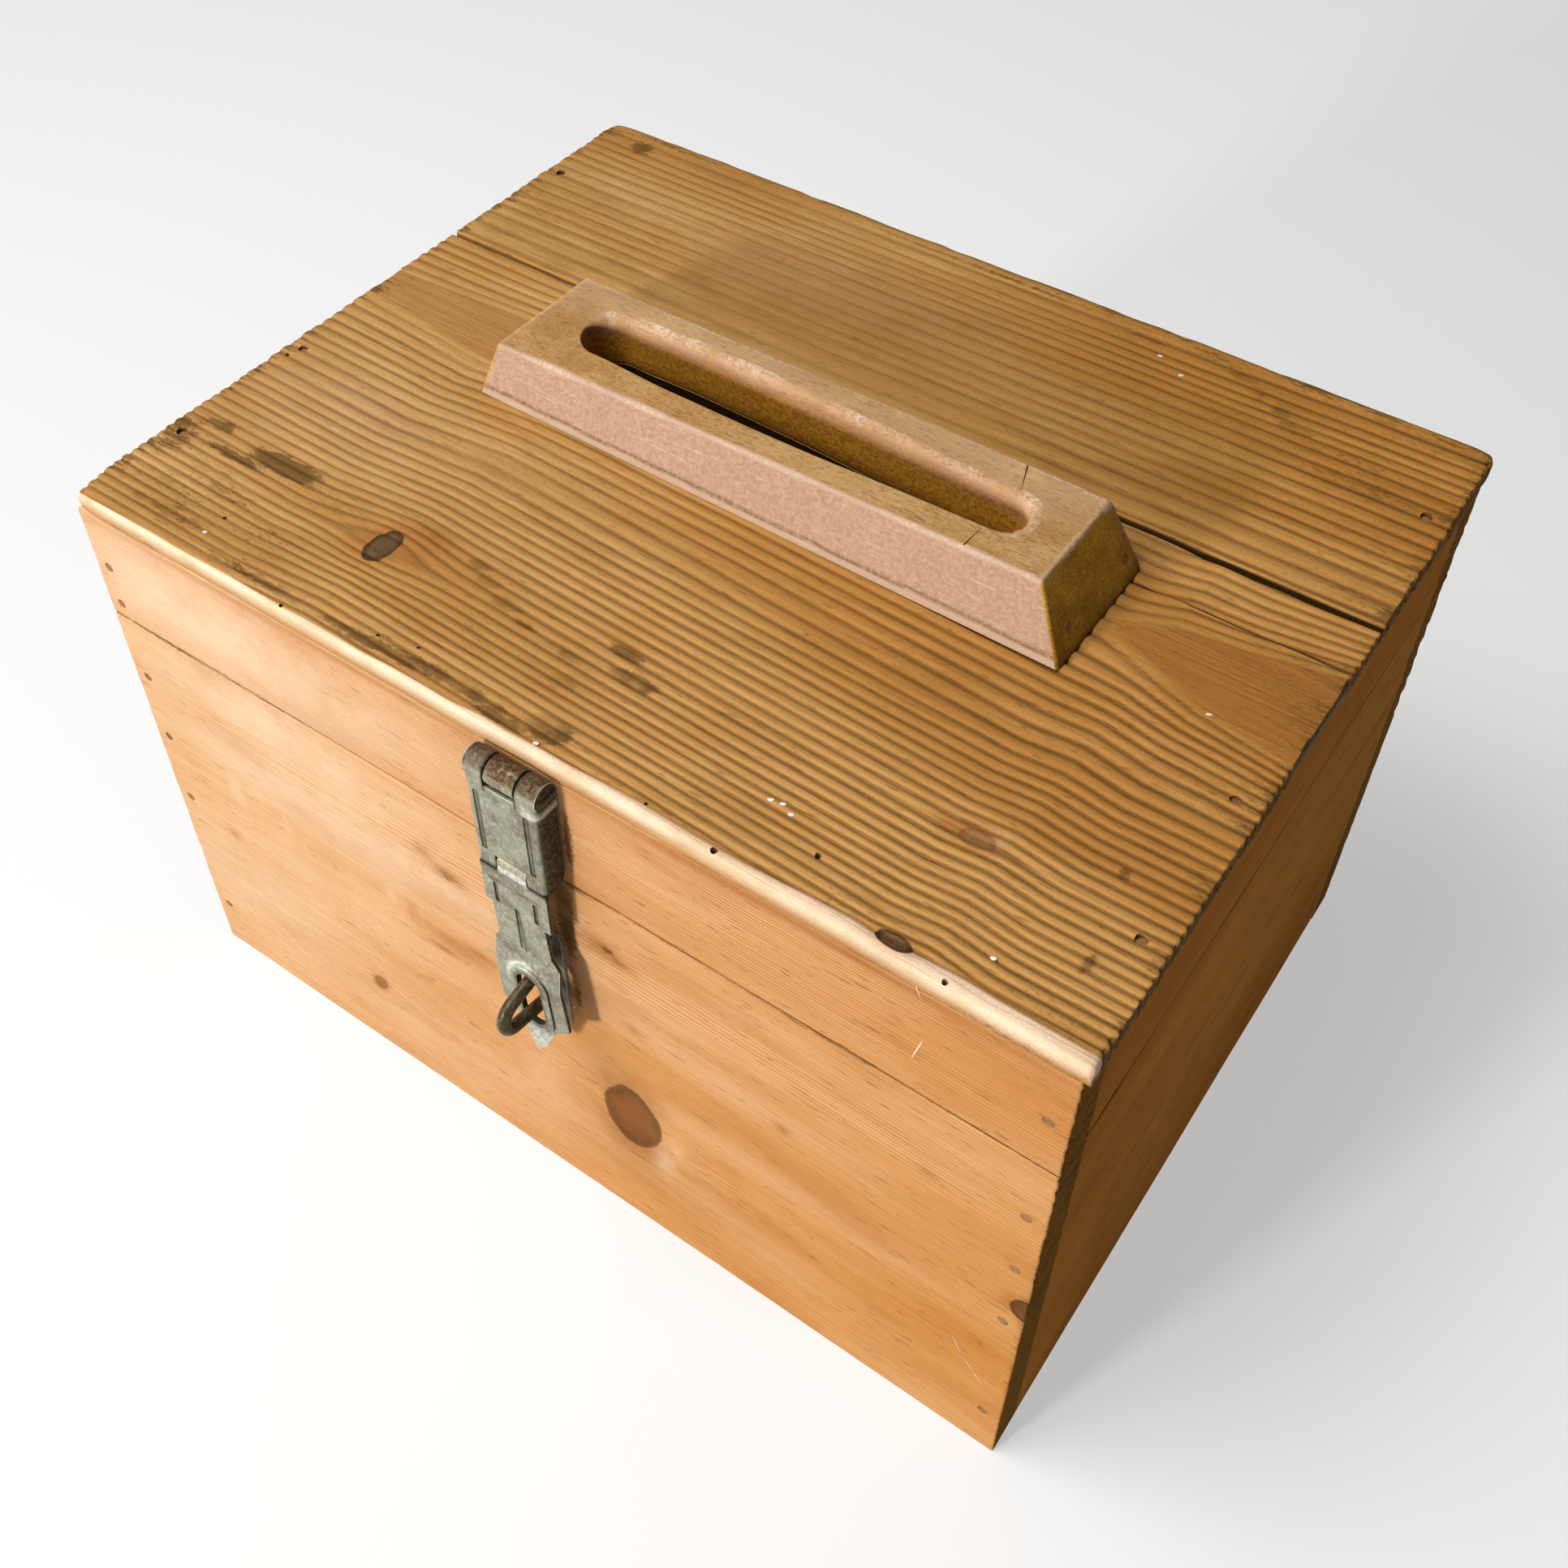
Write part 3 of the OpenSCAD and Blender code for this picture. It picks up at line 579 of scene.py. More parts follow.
TOP_PINE = pine("pine_top", (0.50, 0.300, 0.118), (0.27, 0.125, 0.030), (0.37, 0.178, 0.046),
                (0.105, 0.045, 0.009), shift=11.0, specular=0.05, warm=(0.92, 0.78, 0.50),
                knot_rows=TOP_KNOTS)
# the side boards' pine is darker and browner than the front's: painted shade, as for sides turned away
# from the light
SHADED_SIDE_PINE = pine("pine_side", (0.46, 0.205, 0.048), (0.21, 0.078, 0.015), (0.35, 0.140, 0.028),
                 (0.07, 0.030, 0.006), grain=Y, late_share=0.75, shift=23.0)
INNER_PINE = pine("pine_inner", (0.60, 0.36, 0.17), (0.40, 0.19, 0.065), (0.52, 0.27, 0.10),
                  (0.12, 0.06, 0.02), late_share=0.6, shift=31.0,
                  end_grain=((0.40, 0.19, 0.065), (0.12, 0.06, 0.02)))
BEECH = beech("beech")
HASP_STEEL = steel("hasp_steel", (0.270, 0.262, 0.180), (0.62, 0.62, 0.54), (0.16, 0.070, 0.020), 0.35,
                   0.35, 0.42)
HINGE_STEEL = steel("hinge_steel", (0.20, 0.185, 0.15), (0.45, 0.44, 0.40), (0.17, 0.075, 0.03), 0.7,
                    0.45, 0.5)
NAIL_STEEL = steel("nail_steel", (0.290, 0.145, 0.055), (0.38, 0.22, 0.10), (0.14, 0.060, 0.020), 0.7,
                   0.0, 0.7)
DARK_STEEL = steel("dark_steel", (0.095, 0.078, 0.045), (0.38, 0.33, 0.23), (0.085, 0.042, 0.016), 0.6,
                   0.5, 0.38)


def finish(piece, material, body, slot, *nodes):
    """The piece's material, the body it rides on, and the CAD nodes it replaces; the slot argument is not
    used.
    """
    piece.data.materials.clear()
    piece.data.materials.append(material)
    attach(piece, body)
    if nodes:
        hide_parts(*nodes)


# ---- boards ----------------------------------------------------------------------------


def around_knots(u, v, knots, rings):
    """The rings' places, pushed aside round knots: (u, v, reach along u, reach along v) rows in mm."""
    for knot in knots:
        ku, kv, ru, rv = (length * MM for length in knot)
        du, dv = u - ku, v - kv
        push = 0.8 * rv * bump(du, 0, 3.5 * ru) * bump(dv, 0, 2.5 * rv)
        rings = rings - push * dv / np.sqrt(dv**2 + (0.5 * rv) ** 2)
    return rings


def spots(u, v, marks):
    """Soft stains from (u, v, reach along u, reach along v, strength) rows, with lengths in mm."""
    total = np.zeros_like(u)
    for mu, mv, ru, rv, strength in marks:
        total = np.maximum(total, strength * bump(u / MM, mu, ru) * bump(v / MM, mv, rv))
    return total


def plain_board(node, body, slot, material, grain, seed, spacing=2.6 * MM, pitch=(4, 2.5),
                knots=(), dirt_and_shade=(), red=(), pale=(), warm=(), cutters=(), serrated=0.0, inset=0.0):
    """A planed board with softened, chipped edges. u runs along its grain and v across it."""
    lo, hi = (np.array(c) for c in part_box(node))
    size = hi - lo
    thin = int(size.argmin())
    wide = 3 - grain - thin
    pitches = [3 * MM] * 3
    pitches[grain] = pitch[0] * MM
    pitches[wide] = pitch[1] * MM
    lines = [spaced(lo[a], hi[a], pitches[a]) for a in (X, Y, Z)]
    points, quads = grid_box(lines)
    u, v, w = points[:, grain], points[:, wide], points[:, thin]
    chips = fractal((u + w) / (9 * MM), (v - w) / (9 * MM), seed, 3)
    radius = (0.7 + 0.5 * np.clip(chips, 0, 1)) * MM
    points, out = soften(points, lo, hi, radius)

    facing = np.abs(out[:, thin])
    offset = 0.12 * fractal(u / (40 * MM), v / (7 * MM), seed + 1, 3) * facing
    ends = np.abs(out[:, grain])
    teeth = noise(v / (1.25 * MM), w / (9 * MM), seed + 2)
    teeth = teeth + 0.7 * noise(v / (3.3 * MM), w / (9 * MM), seed + 3)
    ragged = 0.25 + 0.75 * step(0.105, 0.118, v) if wide == Z else 1.0
    offset -= serrated * ends * np.clip(teeth + 0.3, 0, 2) * ragged
    offset -= inset * facing
    # the edges along the grain are worn in long shallow dips
    edge = step(0.3, 0.9, np.abs(out[:, wide]))
    offset -= 0.25 * np.clip(fractal(u / (22 * MM), v * 0, seed + 5, 2), 0, 1) * edge

    depth = np.minimum(w - lo[thin], hi[thin] - w)
    bowed = v + 3 * MM * fractal(u / (170 * MM), v / (60 * MM), seed + 6, 2) + 0.5 * depth
    bowed = around_knots(u, v, knots, bowed)
    uneven = 2.2 * noise(bowed / (24 * MM), u / 0.4, seed + 7)
    fields = {
        "ring": bowed / spacing + uneven,
        "dirt_and_shade": np.clip(spots(u, v, dirt_and_shade) + 0.35 * step(0.5, 1.0, np.abs(out[:, wide])), 0, 1),
        "red": spots(u, v, red),
        "pale": spots(u, v, pale),
        "warm": np.clip(spots(u, v, warm), 0, 1),
        "end": step(0.6, 0.95, ends),
    }
    piece = new_piece(node + "_wood", points + out * (offset * MM)[:, None], quads, fields)
    if cutters:
        cut(piece, cutters)
    else:
        settle(piece)
    finish(piece, material, body, slot, node)


# marks on the front, from the middle of the box and from its foot, in mm
FRONT_RINGS_ROUND = [(33.5, 68.5, 11, 17), (-86.5, 45.5, 4, 4)]
FRONT_RED = [
    (-36, 108, 16, 5, 0.6), (-28, 112, 9, 3, 0.8), (-45, 101, 7, 2, 0.8), (-36, 150, 8, 3.5, 1.0),
    (-46, 155, 5, 6, 0.6), (-42, 162, 5, 5, 0.3), (28, 163, 8, 5, 1.0), (33, 161, 7, 2.5, 0.9),
    (37.5, 126, 3, 2.5, 0.8), (94, 123, 2.5, 2.5, 0.9), (-58, 112, 1.8, 9, 0.5),
    (-152, 86, 3, 4, 0.4), (30, 44, 22, 10, 0.35), (-130, 150, 14, 8, 0.22), (143, 150, 4, 2, 0.6),
    (-45, 128, 26, 8, 0.2), (24, 82, 5, 8, 0.3),
]
FRONT_PALE = [
    (-110, 172, 80, 20, 0.65), (-95, 140, 90, 22, 0.60), (-150, 60, 60, 60, 0.40),
    (-60, 30, 60, 30, 0.25), (46, 52, 5, 9, 0.6), (52, 66, 4, 7, 0.4), (-110, 95, 70, 28, 0.30),
    (-142, 120, 5, 14, 0.5), (-117, 118, 3, 9, 0.5), (-68, 117, 2.5, 10, 0.45),
    (-90, 30, 70, 16, 0.22), (60, 128, 50, 8, 0.2), (90, 88, 60, 7, 0.18), (-5, 60, 12, 20, 0.25),
]
FRONT_WARM = [
    (190, 60, 120, 75, 0.9), (180, 150, 110, 50, 0.55), (40, 0, 200, 40, 0.6),
    (60, 108, 70, 12, 0.45),
]
# stains on the front; the first three rows, just right of the hasp, paint its shadow on the wood
FRONT_DIRT_AND_HASP_SHADOW = [
    (14.5, 172, 4.5, 34, 0.95), (14, 128, 3.5, 20, 0.9), (13.5, 150, 4, 30, 0.5),
    (0, 186, 18, 4, 0.5), (-36, 148, 6, 2, 0.6), (-45, 101, 6, 1.5, 0.5), (34, 160, 5, 2, 0.6),
    (37.5, 126, 2, 1.5, 0.6), (178, 107, 5, 5, 0.6), (-150, 186, 60, 1.6, 0.5),
    (20, 186, 12, 2.5, 0.7), (30, 163, 5, 3, 0.7), (100, 186, 90, 1.2, 0.6), (-36, 151, 6, 2, 0.6),
    (150, 4, 60, 6, 0.35), (179, 90, 3, 90, 0.5), (-178, 100, 4, 90, 0.3), (88, 109, 50, 1.0, 0.55),
    (100, 64, 70, 1.0, 0.45),
]
RAIL_RED = [(-60, 231, 130, 1.8, 0.6), (100, 231, 90, 2.2, 0.75), (128, 215, 1.5, 1.5, 0.9)]
# stains on the rail; the first row, just right of the hasp, paints its shadow on the wood
RAIL_DIRT_AND_HASP_SHADOW = [
    (19, 208, 2.5, 22, 0.9), (-140, 188, 60, 1.4, 0.5), (100, 187.2, 90, 1.0, 0.6),
    (172, 209, 4, 3, 0.4), (60, 231.5, 130, 1.2, 0.4),
]

plain_board("body_front", "box", "pine_face", FRONT_PINE, X, 100, pitch=(2.5, 1.5), serrated=0.8,
            spacing=1.7 * MM,
            knots=FRONT_RINGS_ROUND, red=FRONT_RED, pale=FRONT_PALE,
            warm=FRONT_WARM, dirt_and_shade=FRONT_DIRT_AND_HASP_SHADOW, cutters=nail_holes("body_front_nails"))
plain_board("body_back", "box", "pine_face", FRONT_PINE, X, 200, serrated=0.4,
            cutters=nail_holes("body_back_nails"))
plain_board("lid_front_rail", "lid", "pine_face", RAIL_PINE, X, 300, pitch=(3, 1.2), serrated=0.9,
            spacing=1.5 * MM, red=RAIL_RED, pale=[(-130, 210, 100, 26, 0.75)],
            warm=[(190, 210, 130, 40, 0.9)], dirt_and_shade=RAIL_DIRT_AND_HASP_SHADOW, cutters=nail_holes("lid_front_nails"))
plain_board("lid_back_rail", "lid", "pine_face", RAIL_PINE, X, 400, serrated=0.4, spacing=2 * MM,
            cutters=nail_holes("lid_back_nails"))
plain_board("body_left_side", "box", "pine_side", SHADED_SIDE_PINE, Y, 500, inset=0.2,
            cutters=nail_holes("bottom_nails", lambda place: place[X] < 0))
plain_board("body_right_side", "box", "pine_side", SHADED_SIDE_PINE, Y, 600, inset=0.2,
            cutters=nail_holes("bottom_nails", lambda place: place[X] > 0))
plain_board("lid_left_rail", "lid", "pine_side", SHADED_SIDE_PINE, Y, 700, inset=0.2, spacing=2 * MM)
plain_board("lid_right_rail", "lid", "pine_side", SHADED_SIDE_PINE, Y, 800, inset=0.2, spacing=2 * MM)
plain_board("bottom_front_board", "box", "pine_inside", INNER_PINE, X, 900, spacing=3.4 * MM)
plain_board("bottom_back_board", "box", "pine_inside", INNER_PINE, X, 950, spacing=3.4 * MM)

# ---- the lid's weathered top boards ----------------------------------------------------

front_lo, front_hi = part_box("lid_front_board")
back_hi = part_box("lid_back_board")[1]
LEFT, RIGHT = front_lo.x, front_hi.x
FRONT, BACK = front_lo.y, back_hi.y
TOP = front_hi.z

RIDGE_DEPTH = 0.95
# half the width of a groove, as a share of the way to the next one
GROOVE_WIDTH = 0.19
TOP_RINGS_ROUND = [(-81.5, -100.5, 5, 5), (124, -94, 6, 1.2), (124, -134, 5, 1)]
TOP_RED = [
    (-72, -90, 9, 6, 0.95), (-70, -97, 5, 5, 0.55), (-90, -103, 4, 5, 0.35),
    (115, -94.5, 5, 3.2, 0.9), (34, -68, 5, 2, 0.5), (97, -59, 22, 4, 0.3), (61, -54, 14, 4, 0.25),
    (165, -68, 5, 2, 0.5),
]
TOP_PALE = [(128, -92, 3, 3, 0.4), (-140, -60, 50, 30, 0.12), (-60, 100, 90, 30, 0.10)]
TOP_DIRT = [
    (-132, -91, 18, 5, 0.9), (-150, -108, 30, 22, 0.30), (-60, -118, 60, 10, 0.28),
    (-150, -97, 16, 3, 0.7), (-165, -88, 12, 4, 0.6), (-172, -100, 10, 20, 0.5),
    (-140, -112, 34, 10, 0.42), (-150, -127, 30, 6, 0.5), (-110, -116, 26, 5, 0.40),
    (-52, -90, 6, 3, 0.7), (-44, -94, 6, 3, 0.85), (-34, -98, 8, 3, 0.8), (-24, -102, 7, 2.5, 0.6),
    (-6, -104, 8, 2.5, 0.7), (8, -94, 8, 3, 0.7), (16, -101, 10, 3, 0.95), (0, -113, 8, 4, 0.6),
    (8, -129, 9, 6, 0.85), (-6, -134, 14, 2.5, 0.7), (-57, -133, 30, 3, 0.7),
    (-25, -131, 34, 3, 0.7), (-100, -133, 30, 3, 0.6), (98, 128, 7, 3, 0.75),
    (61, 129, 10, 1.8, 0.7), (116, 118, 5, 4, 0.7), (122, 112, 8, 3, 0.8), (106, 122, 4, 5, 0.6),
    (-159, 128, 9, 7, 0.6), (15, 129, 10, 4, 0.4), (-10, 133, 90, 2, 0.5),
    (60, -134, 70, 1.6, 0.45), (-122, 62, 50, 2, 0.2), (-98, 83, 5, 2, 0.25), (-28, 76, 4, 2, 0.2),
    (161, -82, 1.0, 3, 0.8), (162.5, -92, 1.0, 3, 0.7), (164, -101, 1.0, 3, 0.8),
    (166, -112, 1.0, 5, 0.7), (173.5, -98, 3, 3, 0.6), (173.5, -43, 3, 3, 0.6),
    (173.5, 95.5, 3, 3, 0.5), (112, -30, 14, 4, 0.3),
]
WORM_HOLES = [
    (49.5, 19, 1.5), (92, 1.5, 1.5), (124, 9, 1.4), (137, 12, 1.3), (250, 1.8, 2.2), (273, 16, 1.8),
    (320, 1.6, 1.8), (226, 4, 1.2), (4.5, 90, 1.6),
]
# the worn bead along the front edge: places from the middle of the box, and its width, in mm
BEAD_X = (-180, -60, 0, 80, 130, 182)
BEAD_W = (0.9, 1.3, 2.2, 3.3, 4.5, 4.8)

# the smooth tongues of wood near the ends of the front board: places from the left end, the
# middle line's distance behind the middle of the box, and half the width there, in mm
TONGUE_X = (0, 30, 62, 100, 125, 296, 312, 330, 362)
TONGUE_MIDDLE = (3, 2.5, 2, 5, 4, -3, -1.5, -3.5, -3)
TONGUE_HALF = (7.5, 9.5, 12.5, 8, 0, 0, 8.5, 13, 19)
TONGUE_FADE = 12 * MM
# rings are widest at the middle of the board and narrow towards its front edge
NARROW_PITCH = 3.6 * MM
EXTRA_PITCH = 4.4 * MM
PITCH_FADE = 38 * MM
BACK_PITCH = 5.8 * MM


def ring_count(x, y, depth):
    """Growth rings of the top boards, whole in the grooves, and how far past the tongues y is."""
    bend = 0.8 * fractal(x / 0.24, y / 0.12, 12, 2) + 0.14 * noise(x / 0.028, y / 0.010, 19)
    v = around_knots(x, y, TOP_RINGS_ROUND, y + bend * MM)
    from_left = (x - LEFT) / MM
    off = v - np.interp(from_left, TONGUE_X, TONGUE_MIDDLE) * MM
    half = np.interp(from_left, TONGUE_X, TONGUE_HALF) * MM
    past = np.maximum(np.abs(off) - half, 0)
    even = past + half * (1 - np.exp(-past / TONGUE_FADE))
    growth = (np.exp(even / PITCH_FADE) * NARROW_PITCH + EXTRA_PITCH) / (NARROW_PITCH + EXTRA_PITCH)
    front_count = np.sign(off) * PITCH_FADE / NARROW_PITCH * np.log(growth)
    front_board = y < front_hi.y + 0.2 * MM
    count = np.where(front_board, front_count, v / BACK_PITCH)
    past = np.where(front_board, np.where(half > 0, past, 1.0), 1.0)
    inside = step(0.4 * MM, -0.6 * MM, np.abs(off) - half) * step(0, 1.5 * MM, half) * front_board
    uneven = 0.55 * noise(v / 0.021, x / 0.6, 23)
    return count + uneven * (1 - inside) + depth / (9 * MM), past, inside


def top_edges(w, front):
    """How far the edges of the top board w are rounded at each point, most at the box's corners."""
    high = step(w.lo[Z], w.hi[Z] - 1 * MM, w.z)
    radius = (0.5 + 0.5 * high * (1 + noise(w.x / (7 * MM), w.y / (7 * MM), 31))) * MM
    if front:
        radius = np.where(w.from_front < 12 * MM, (0.4 + 1.5 * high) * MM, radius)
    for corner_x, corner_y, reach in ((w.hi[X], BACK, 7), (w.lo[X], FRONT, 6), (w.lo[X], BACK, 4)):
        radius = radius + 3.2 * MM * bump(np.hypot(w.x - corner_x, w.y - corner_y), 0, reach * MM)
    return np.minimum(radius, 3.4 * MM)


def top_grain(w, front):
    """Gives the top board w its rings, and its ridges' shape and depth in mm."""
    w.count, past, w.inside = ring_count(w.x, w.y, w.hi[Z] - w.z)
    # narrow grooves where the count is whole, with broad flat ridges between them
    w.off_groove = np.abs(w.count - np.round(w.count))
    w.ridge = 1 - bump(w.off_groove, 0, GROOVE_WIDTH) * (0.85 + 0.15 * np.cos(2 * math.pi * w.count))
    w.ridge = w.ridge * (0.90 + 0.10 * np.sin(math.pi * w.off_groove))
    shallow = 0.45 + 0.55 * step(-0.15, 0.15, w.x) if front else 0.30 + 0.5 * step(-0.05, 0.16, w.x)
    w.depth = RIDGE_DEPTH * shallow * (1 + 0.45 * fractal(w.x / 0.04, w.y / 0.02, 41, 2))
    # the tongues and the wood beside them are nearly smooth
    w.depth = w.depth * (1 - 0.95 * w.inside) * (0.3 + 0.7 * step(1 * MM, 11 * MM, past))
    if front:
        w.depth = w.depth * step(0, 1.4 * MM, w.from_front - w.bead)


def top_relief(w, front):
    """How far each point of the top board w stands proud of its plain shape, in mm."""
    x, y, up, ends = w.x, w.y, w.up, w.ends
    offset = (0.10 * w.fine - 0.12 - w.depth * (1 - w.ridge)) * up
    knot_x, knot_y, _ = TOP_KNOTS[0][0]
    knot_rx, knot_ry, _ = TOP_KNOTS[0][1]
    knot = bump(np.hypot((x / MM - knot_x) / knot_rx, (y / MM - knot_y) / knot_ry), 0, 1.0)
    offset -= 0.35 * knot * up
    ragged = 1.7 * (1 - w.ridge) * (0.4 + 0.6 * step(0, 0.1, x))
    ragged += 0.6 * np.clip(noise(y / (1.4 * MM), w.z / (5 * MM), 61), 0, 1)
    if front:
        beside = bump(w.from_front - w.bead, 0.8 * MM, 0.8 * MM) * step(-0.06, 0.12, x)
        offset -= (0.55 + 0.35 * noise(x / 0.02, y * 0, 53)) * beside * up
        offset -= 0.35 * np.clip(fractal(x / 0.018, y * 0, 59, 3), 0, 1) * step(4 * MM, 0, w.from_front)
        ragged = ragged * step(w.bead - 1 * MM, w.bead + 1 * MM, w.from_front)
        # the gap between the two boards is narrower at the left
        closing = 1.2 * (w.hi[X] - x) / (w.hi[X] - w.lo[X]) - 0.5 + 0.25 * noise(x / 0.03, x * 0, 69)
        offset += closing * np.clip(w.out[:, Y], 0, 1)
    else:
        high = step(w.lo[Z], w.hi[Z] - 1 * MM, w.z)
        along_edges = step(0.4, 0.9, np.abs(w.out[:, Y]))
        offset -= 0.3 * (1 + fractal(x / 0.02, w.z / 0.01, 73, 2)) * along_edges * high
    return offset - (ragged + 0.3 * (1 + noise(y / (22 * MM), y * 0, 67))) * ends


def top_fields(w, front):
    """What the material of the top board w is told at each point."""
    x, y = w.x, w.y
    facing_gap = np.clip(w.out[:, Y] if front else -w.out[:, Y], 0, 1)
    edge_shade = 0.5 * bump(x, w.lo[X], 6 * MM) + 0.3 * bump(x, w.hi[X], 5 * MM)
    if not front:
        edge_shade = edge_shade + 0.4 * bump(y, w.hi[Y], 5 * MM)
    groove = bump(w.off_groove, 0, 0.75 * GROOVE_WIDTH) * step(0.05, 0.6, w.depth) * w.up
    broken = 0.72 + 0.55 * fractal(x / 0.022, w.count * 0.9, 83, 3)
    weathered = 0.16 * step(-0.08, -0.12, x) * step(-0.075, -0.10, y) + 0.10 * step(0, 0.15, x)
    mottle = 0.24 + 0.24 * fractal(x / 0.035, y / 0.012, 85, 3) + weathered
    # dirt lies in fine streaks along the grain, most of it down in the grooves
    streak = fractal(x / 0.004, y / (1.8 * MM), 86, 3) + 0.45 * (1 - w.ridge)
    stains = spots(x, y, TOP_DIRT)
    stains = np.clip(1.3 * stains, 0, 1) * step(0.12, 0.5, 1.1 * stains + 0.6 * streak)
    sunned = 0.5 * step(-0.12, 0.16, x) + 0.35 * step(0.02, 0.12, y) * step(-0.16, 0.05, x)
    fields = {
        "ring": w.count + 0.04,
        "deep": np.clip(0.72 * groove * broken * (0.8 + 0.4 * step(-0.05, 0.15, x)), 0, 1),
        "dirt_and_shade": np.clip(np.maximum(stains, mottle + edge_shade * step(-0.4, 0.5, w.fine)), 0, 1),
        "red": np.clip(0.9 * spots(x, y, TOP_RED) + (0.45 + 0.3 * step(0, 0.1, x)) * w.inside, 0, 0.8),
        "pale": spots(x, y, TOP_PALE),
        "warm": np.clip(0.25 + sunned, 0, 1),
        "end": step(0.6, 0.95, w.ends),
        # painted shade on each top board's wall that faces the gap between them, lighter at the left
        "cut": 0.9 * step(0.6, 0.95, facing_gap) * (0.25 + 0.75 * step(-0.02, 0.12, x)),
    }
    if front:
        high = step(w.lo[Z], w.hi[Z] - 1 * MM, w.z)
        on_bead = step(0.5 * MM, -0.5 * MM, w.from_front - w.bead) * high
        stained = 0.22 * fractal(x / 0.016, y / 0.002, 87, 3) + 0.06
        fields["dirt_and_shade"] = np.clip(fields["dirt_and_shade"] * (1 - 0.8 * on_bead) + stained * on_bead, 0, 1)
        fields["pale"] = np.maximum(fields["pale"], on_bead)
        fields["warm"] = fields["warm"] * (1 - on_bead)
        fields["end"] = fields["end"] * (1 - on_bead)
    return fields


def top_board(node, cutters, pitch_x, front):
    """A weathered board with ridged grain and ragged ends; the front one has a worn bead."""
    w = SimpleNamespace()
    w.lo, w.hi = (np.array(c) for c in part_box(node))
    points, quads = grid_box([
        spaced(w.lo[X], w.hi[X], pitch_x * MM, 0.5 * MM, 3 * MM),
        spaced(w.lo[Y], w.hi[Y], 0.5 * MM),
        np.linspace(w.lo[Z], w.hi[Z], 8),
    ])
    w.x, w.y, w.z = points.T
    w.from_front = w.y - FRONT
    w.bead = (np.interp(w.x / MM, BEAD_X, BEAD_W) + 0.4 * noise(w.x / 0.011, w.y * 0, 37)) * MM
    points, w.out = soften(points, w.lo, w.hi, top_edges(w, front))
    w.up = np.clip(w.out[:, Z], 0, 1)
    w.ends = np.abs(w.out[:, X])
    w.fine = fractal(w.x / 0.012, w.y / (1.1 * MM), 47, 2)
    top_grain(w, front)
    points = points + w.out * (top_relief(w, front) * MM)[:, None]
    piece = new_piece(node + "_wood", points, quads, top_fields(w, front))
    cut(piece, cutters)
    finish(piece, TOP_PINE, "lid", "pine_weathered", node)


SLOT_LEFT, SLOT_LEFT_R = np.array((-74, 4)) * MM, 11 * MM
SLOT_RIGHT, SLOT_RIGHT_R = np.array((75, -0.6)) * MM, 8 * MM


def worn_slot(places):
    """The worn edge of the coin slot in each place's direction from the slot's middle line."""
    along = np.clip((places[:, 0] - SLOT_LEFT[0]) / (SLOT_RIGHT[0] - SLOT_LEFT[0]), 0, 1)[:, None]
    spine = SLOT_LEFT + along * (SLOT_RIGHT - SLOT_LEFT)
    way = places - spine
    way /= np.linalg.norm(way, axis=1, keepdims=True)
    # the long sides are worn a little wider in the middle than near the left end
    swell = (1.5 * bump(along, 0.5, 0.35) - 1.2 * step(0.2, 0.0, along)) * MM * np.abs(way[:, 1:])
    return spine + way * (SLOT_LEFT_R + along * (SLOT_RIGHT_R - SLOT_LEFT_R) + swell), way


def slot_outline(samples=24):
    """Points round the coin slot, going anticlockwise."""
    run = SLOT_RIGHT - SLOT_LEFT
    tilt = math.atan2(run[1], run[0])
    lean = math.acos((SLOT_LEFT_R - SLOT_RIGHT_R) / np.linalg.norm(run))
    right = SLOT_RIGHT + SLOT_RIGHT_R * np.array(
        [(math.cos(a), math.sin(a)) for a in np.linspace(tilt - lean, tilt + lean, samples)])
    left = SLOT_LEFT + SLOT_LEFT_R * np.array(
        [(math.cos(a), math.sin(a)) for a in np.linspace(tilt + lean, tilt + 2 * math.pi - lean, samples)])
    far = np.linspace(right[-1], left[0], samples + 2)[1:-1]
    near = np.linspace(left[-1], right[0], samples + 2)[1:-1]
    return worn_slot(np.vstack([right, far, left, near]))[0]


def slot_cutter(lo_z, hi_z):
    """A cutter for the coin slot through a board from lo_z to hi_z, with rings of points inside it."""
    levels = (hi_z + 2 * MM, hi_z - 0.4 * MM, lo_z + 0.4 * MM, lo_z - 2 * MM)
    return loft([[(x, y, z) for x, y in slot_outline()] for z in levels])


worm_holes = [
    hole((LEFT + x * MM, FRONT + y * MM, TOP), (0, 0, 1), [(d / 2 * MM, 2 * MM), (d / 2 * MM, -4.5 * MM)])
    for x, y, d in WORM_HOLES
]
top_crack = crack((112 * MM, 17.2 * MM, TOP), (RIGHT + 1 * MM, 18.4 * MM, TOP), 1.5 * MM, 5 * MM)
front_nails = nail_holes("lid_top_nails", lambda place: place[Y] < front_hi.y, proud=3 * MM)
back_nails = nail_holes("lid_top_nails", lambda place: place[Y] > front_hi.y, proud=3 * MM)
slot = slot_cutter(front_lo.z, front_hi.z)
top_board("lid_front_board", front_nails + worm_holes + [top_crack, slot], pitch_x=2.6, front=True)
top_board("lid_back_board", back_nails, pitch_x=2.4, front=False)

# ---- slot block ------------------------------------------------------------------------

# how far the block's ends lean in up to its top, and its long sides for each unit of height
BLOCK_LEAN_LEFT = 4.1 * MM
BLOCK_LEAN_RIGHT = 13 * MM
BLOCK_NEAR_SLOPE = 8.8 / 22
BLOCK_FAR_SLOPE = 5.6 / 22
BLOCK_LEFT_SHARE = 17.2 / 22
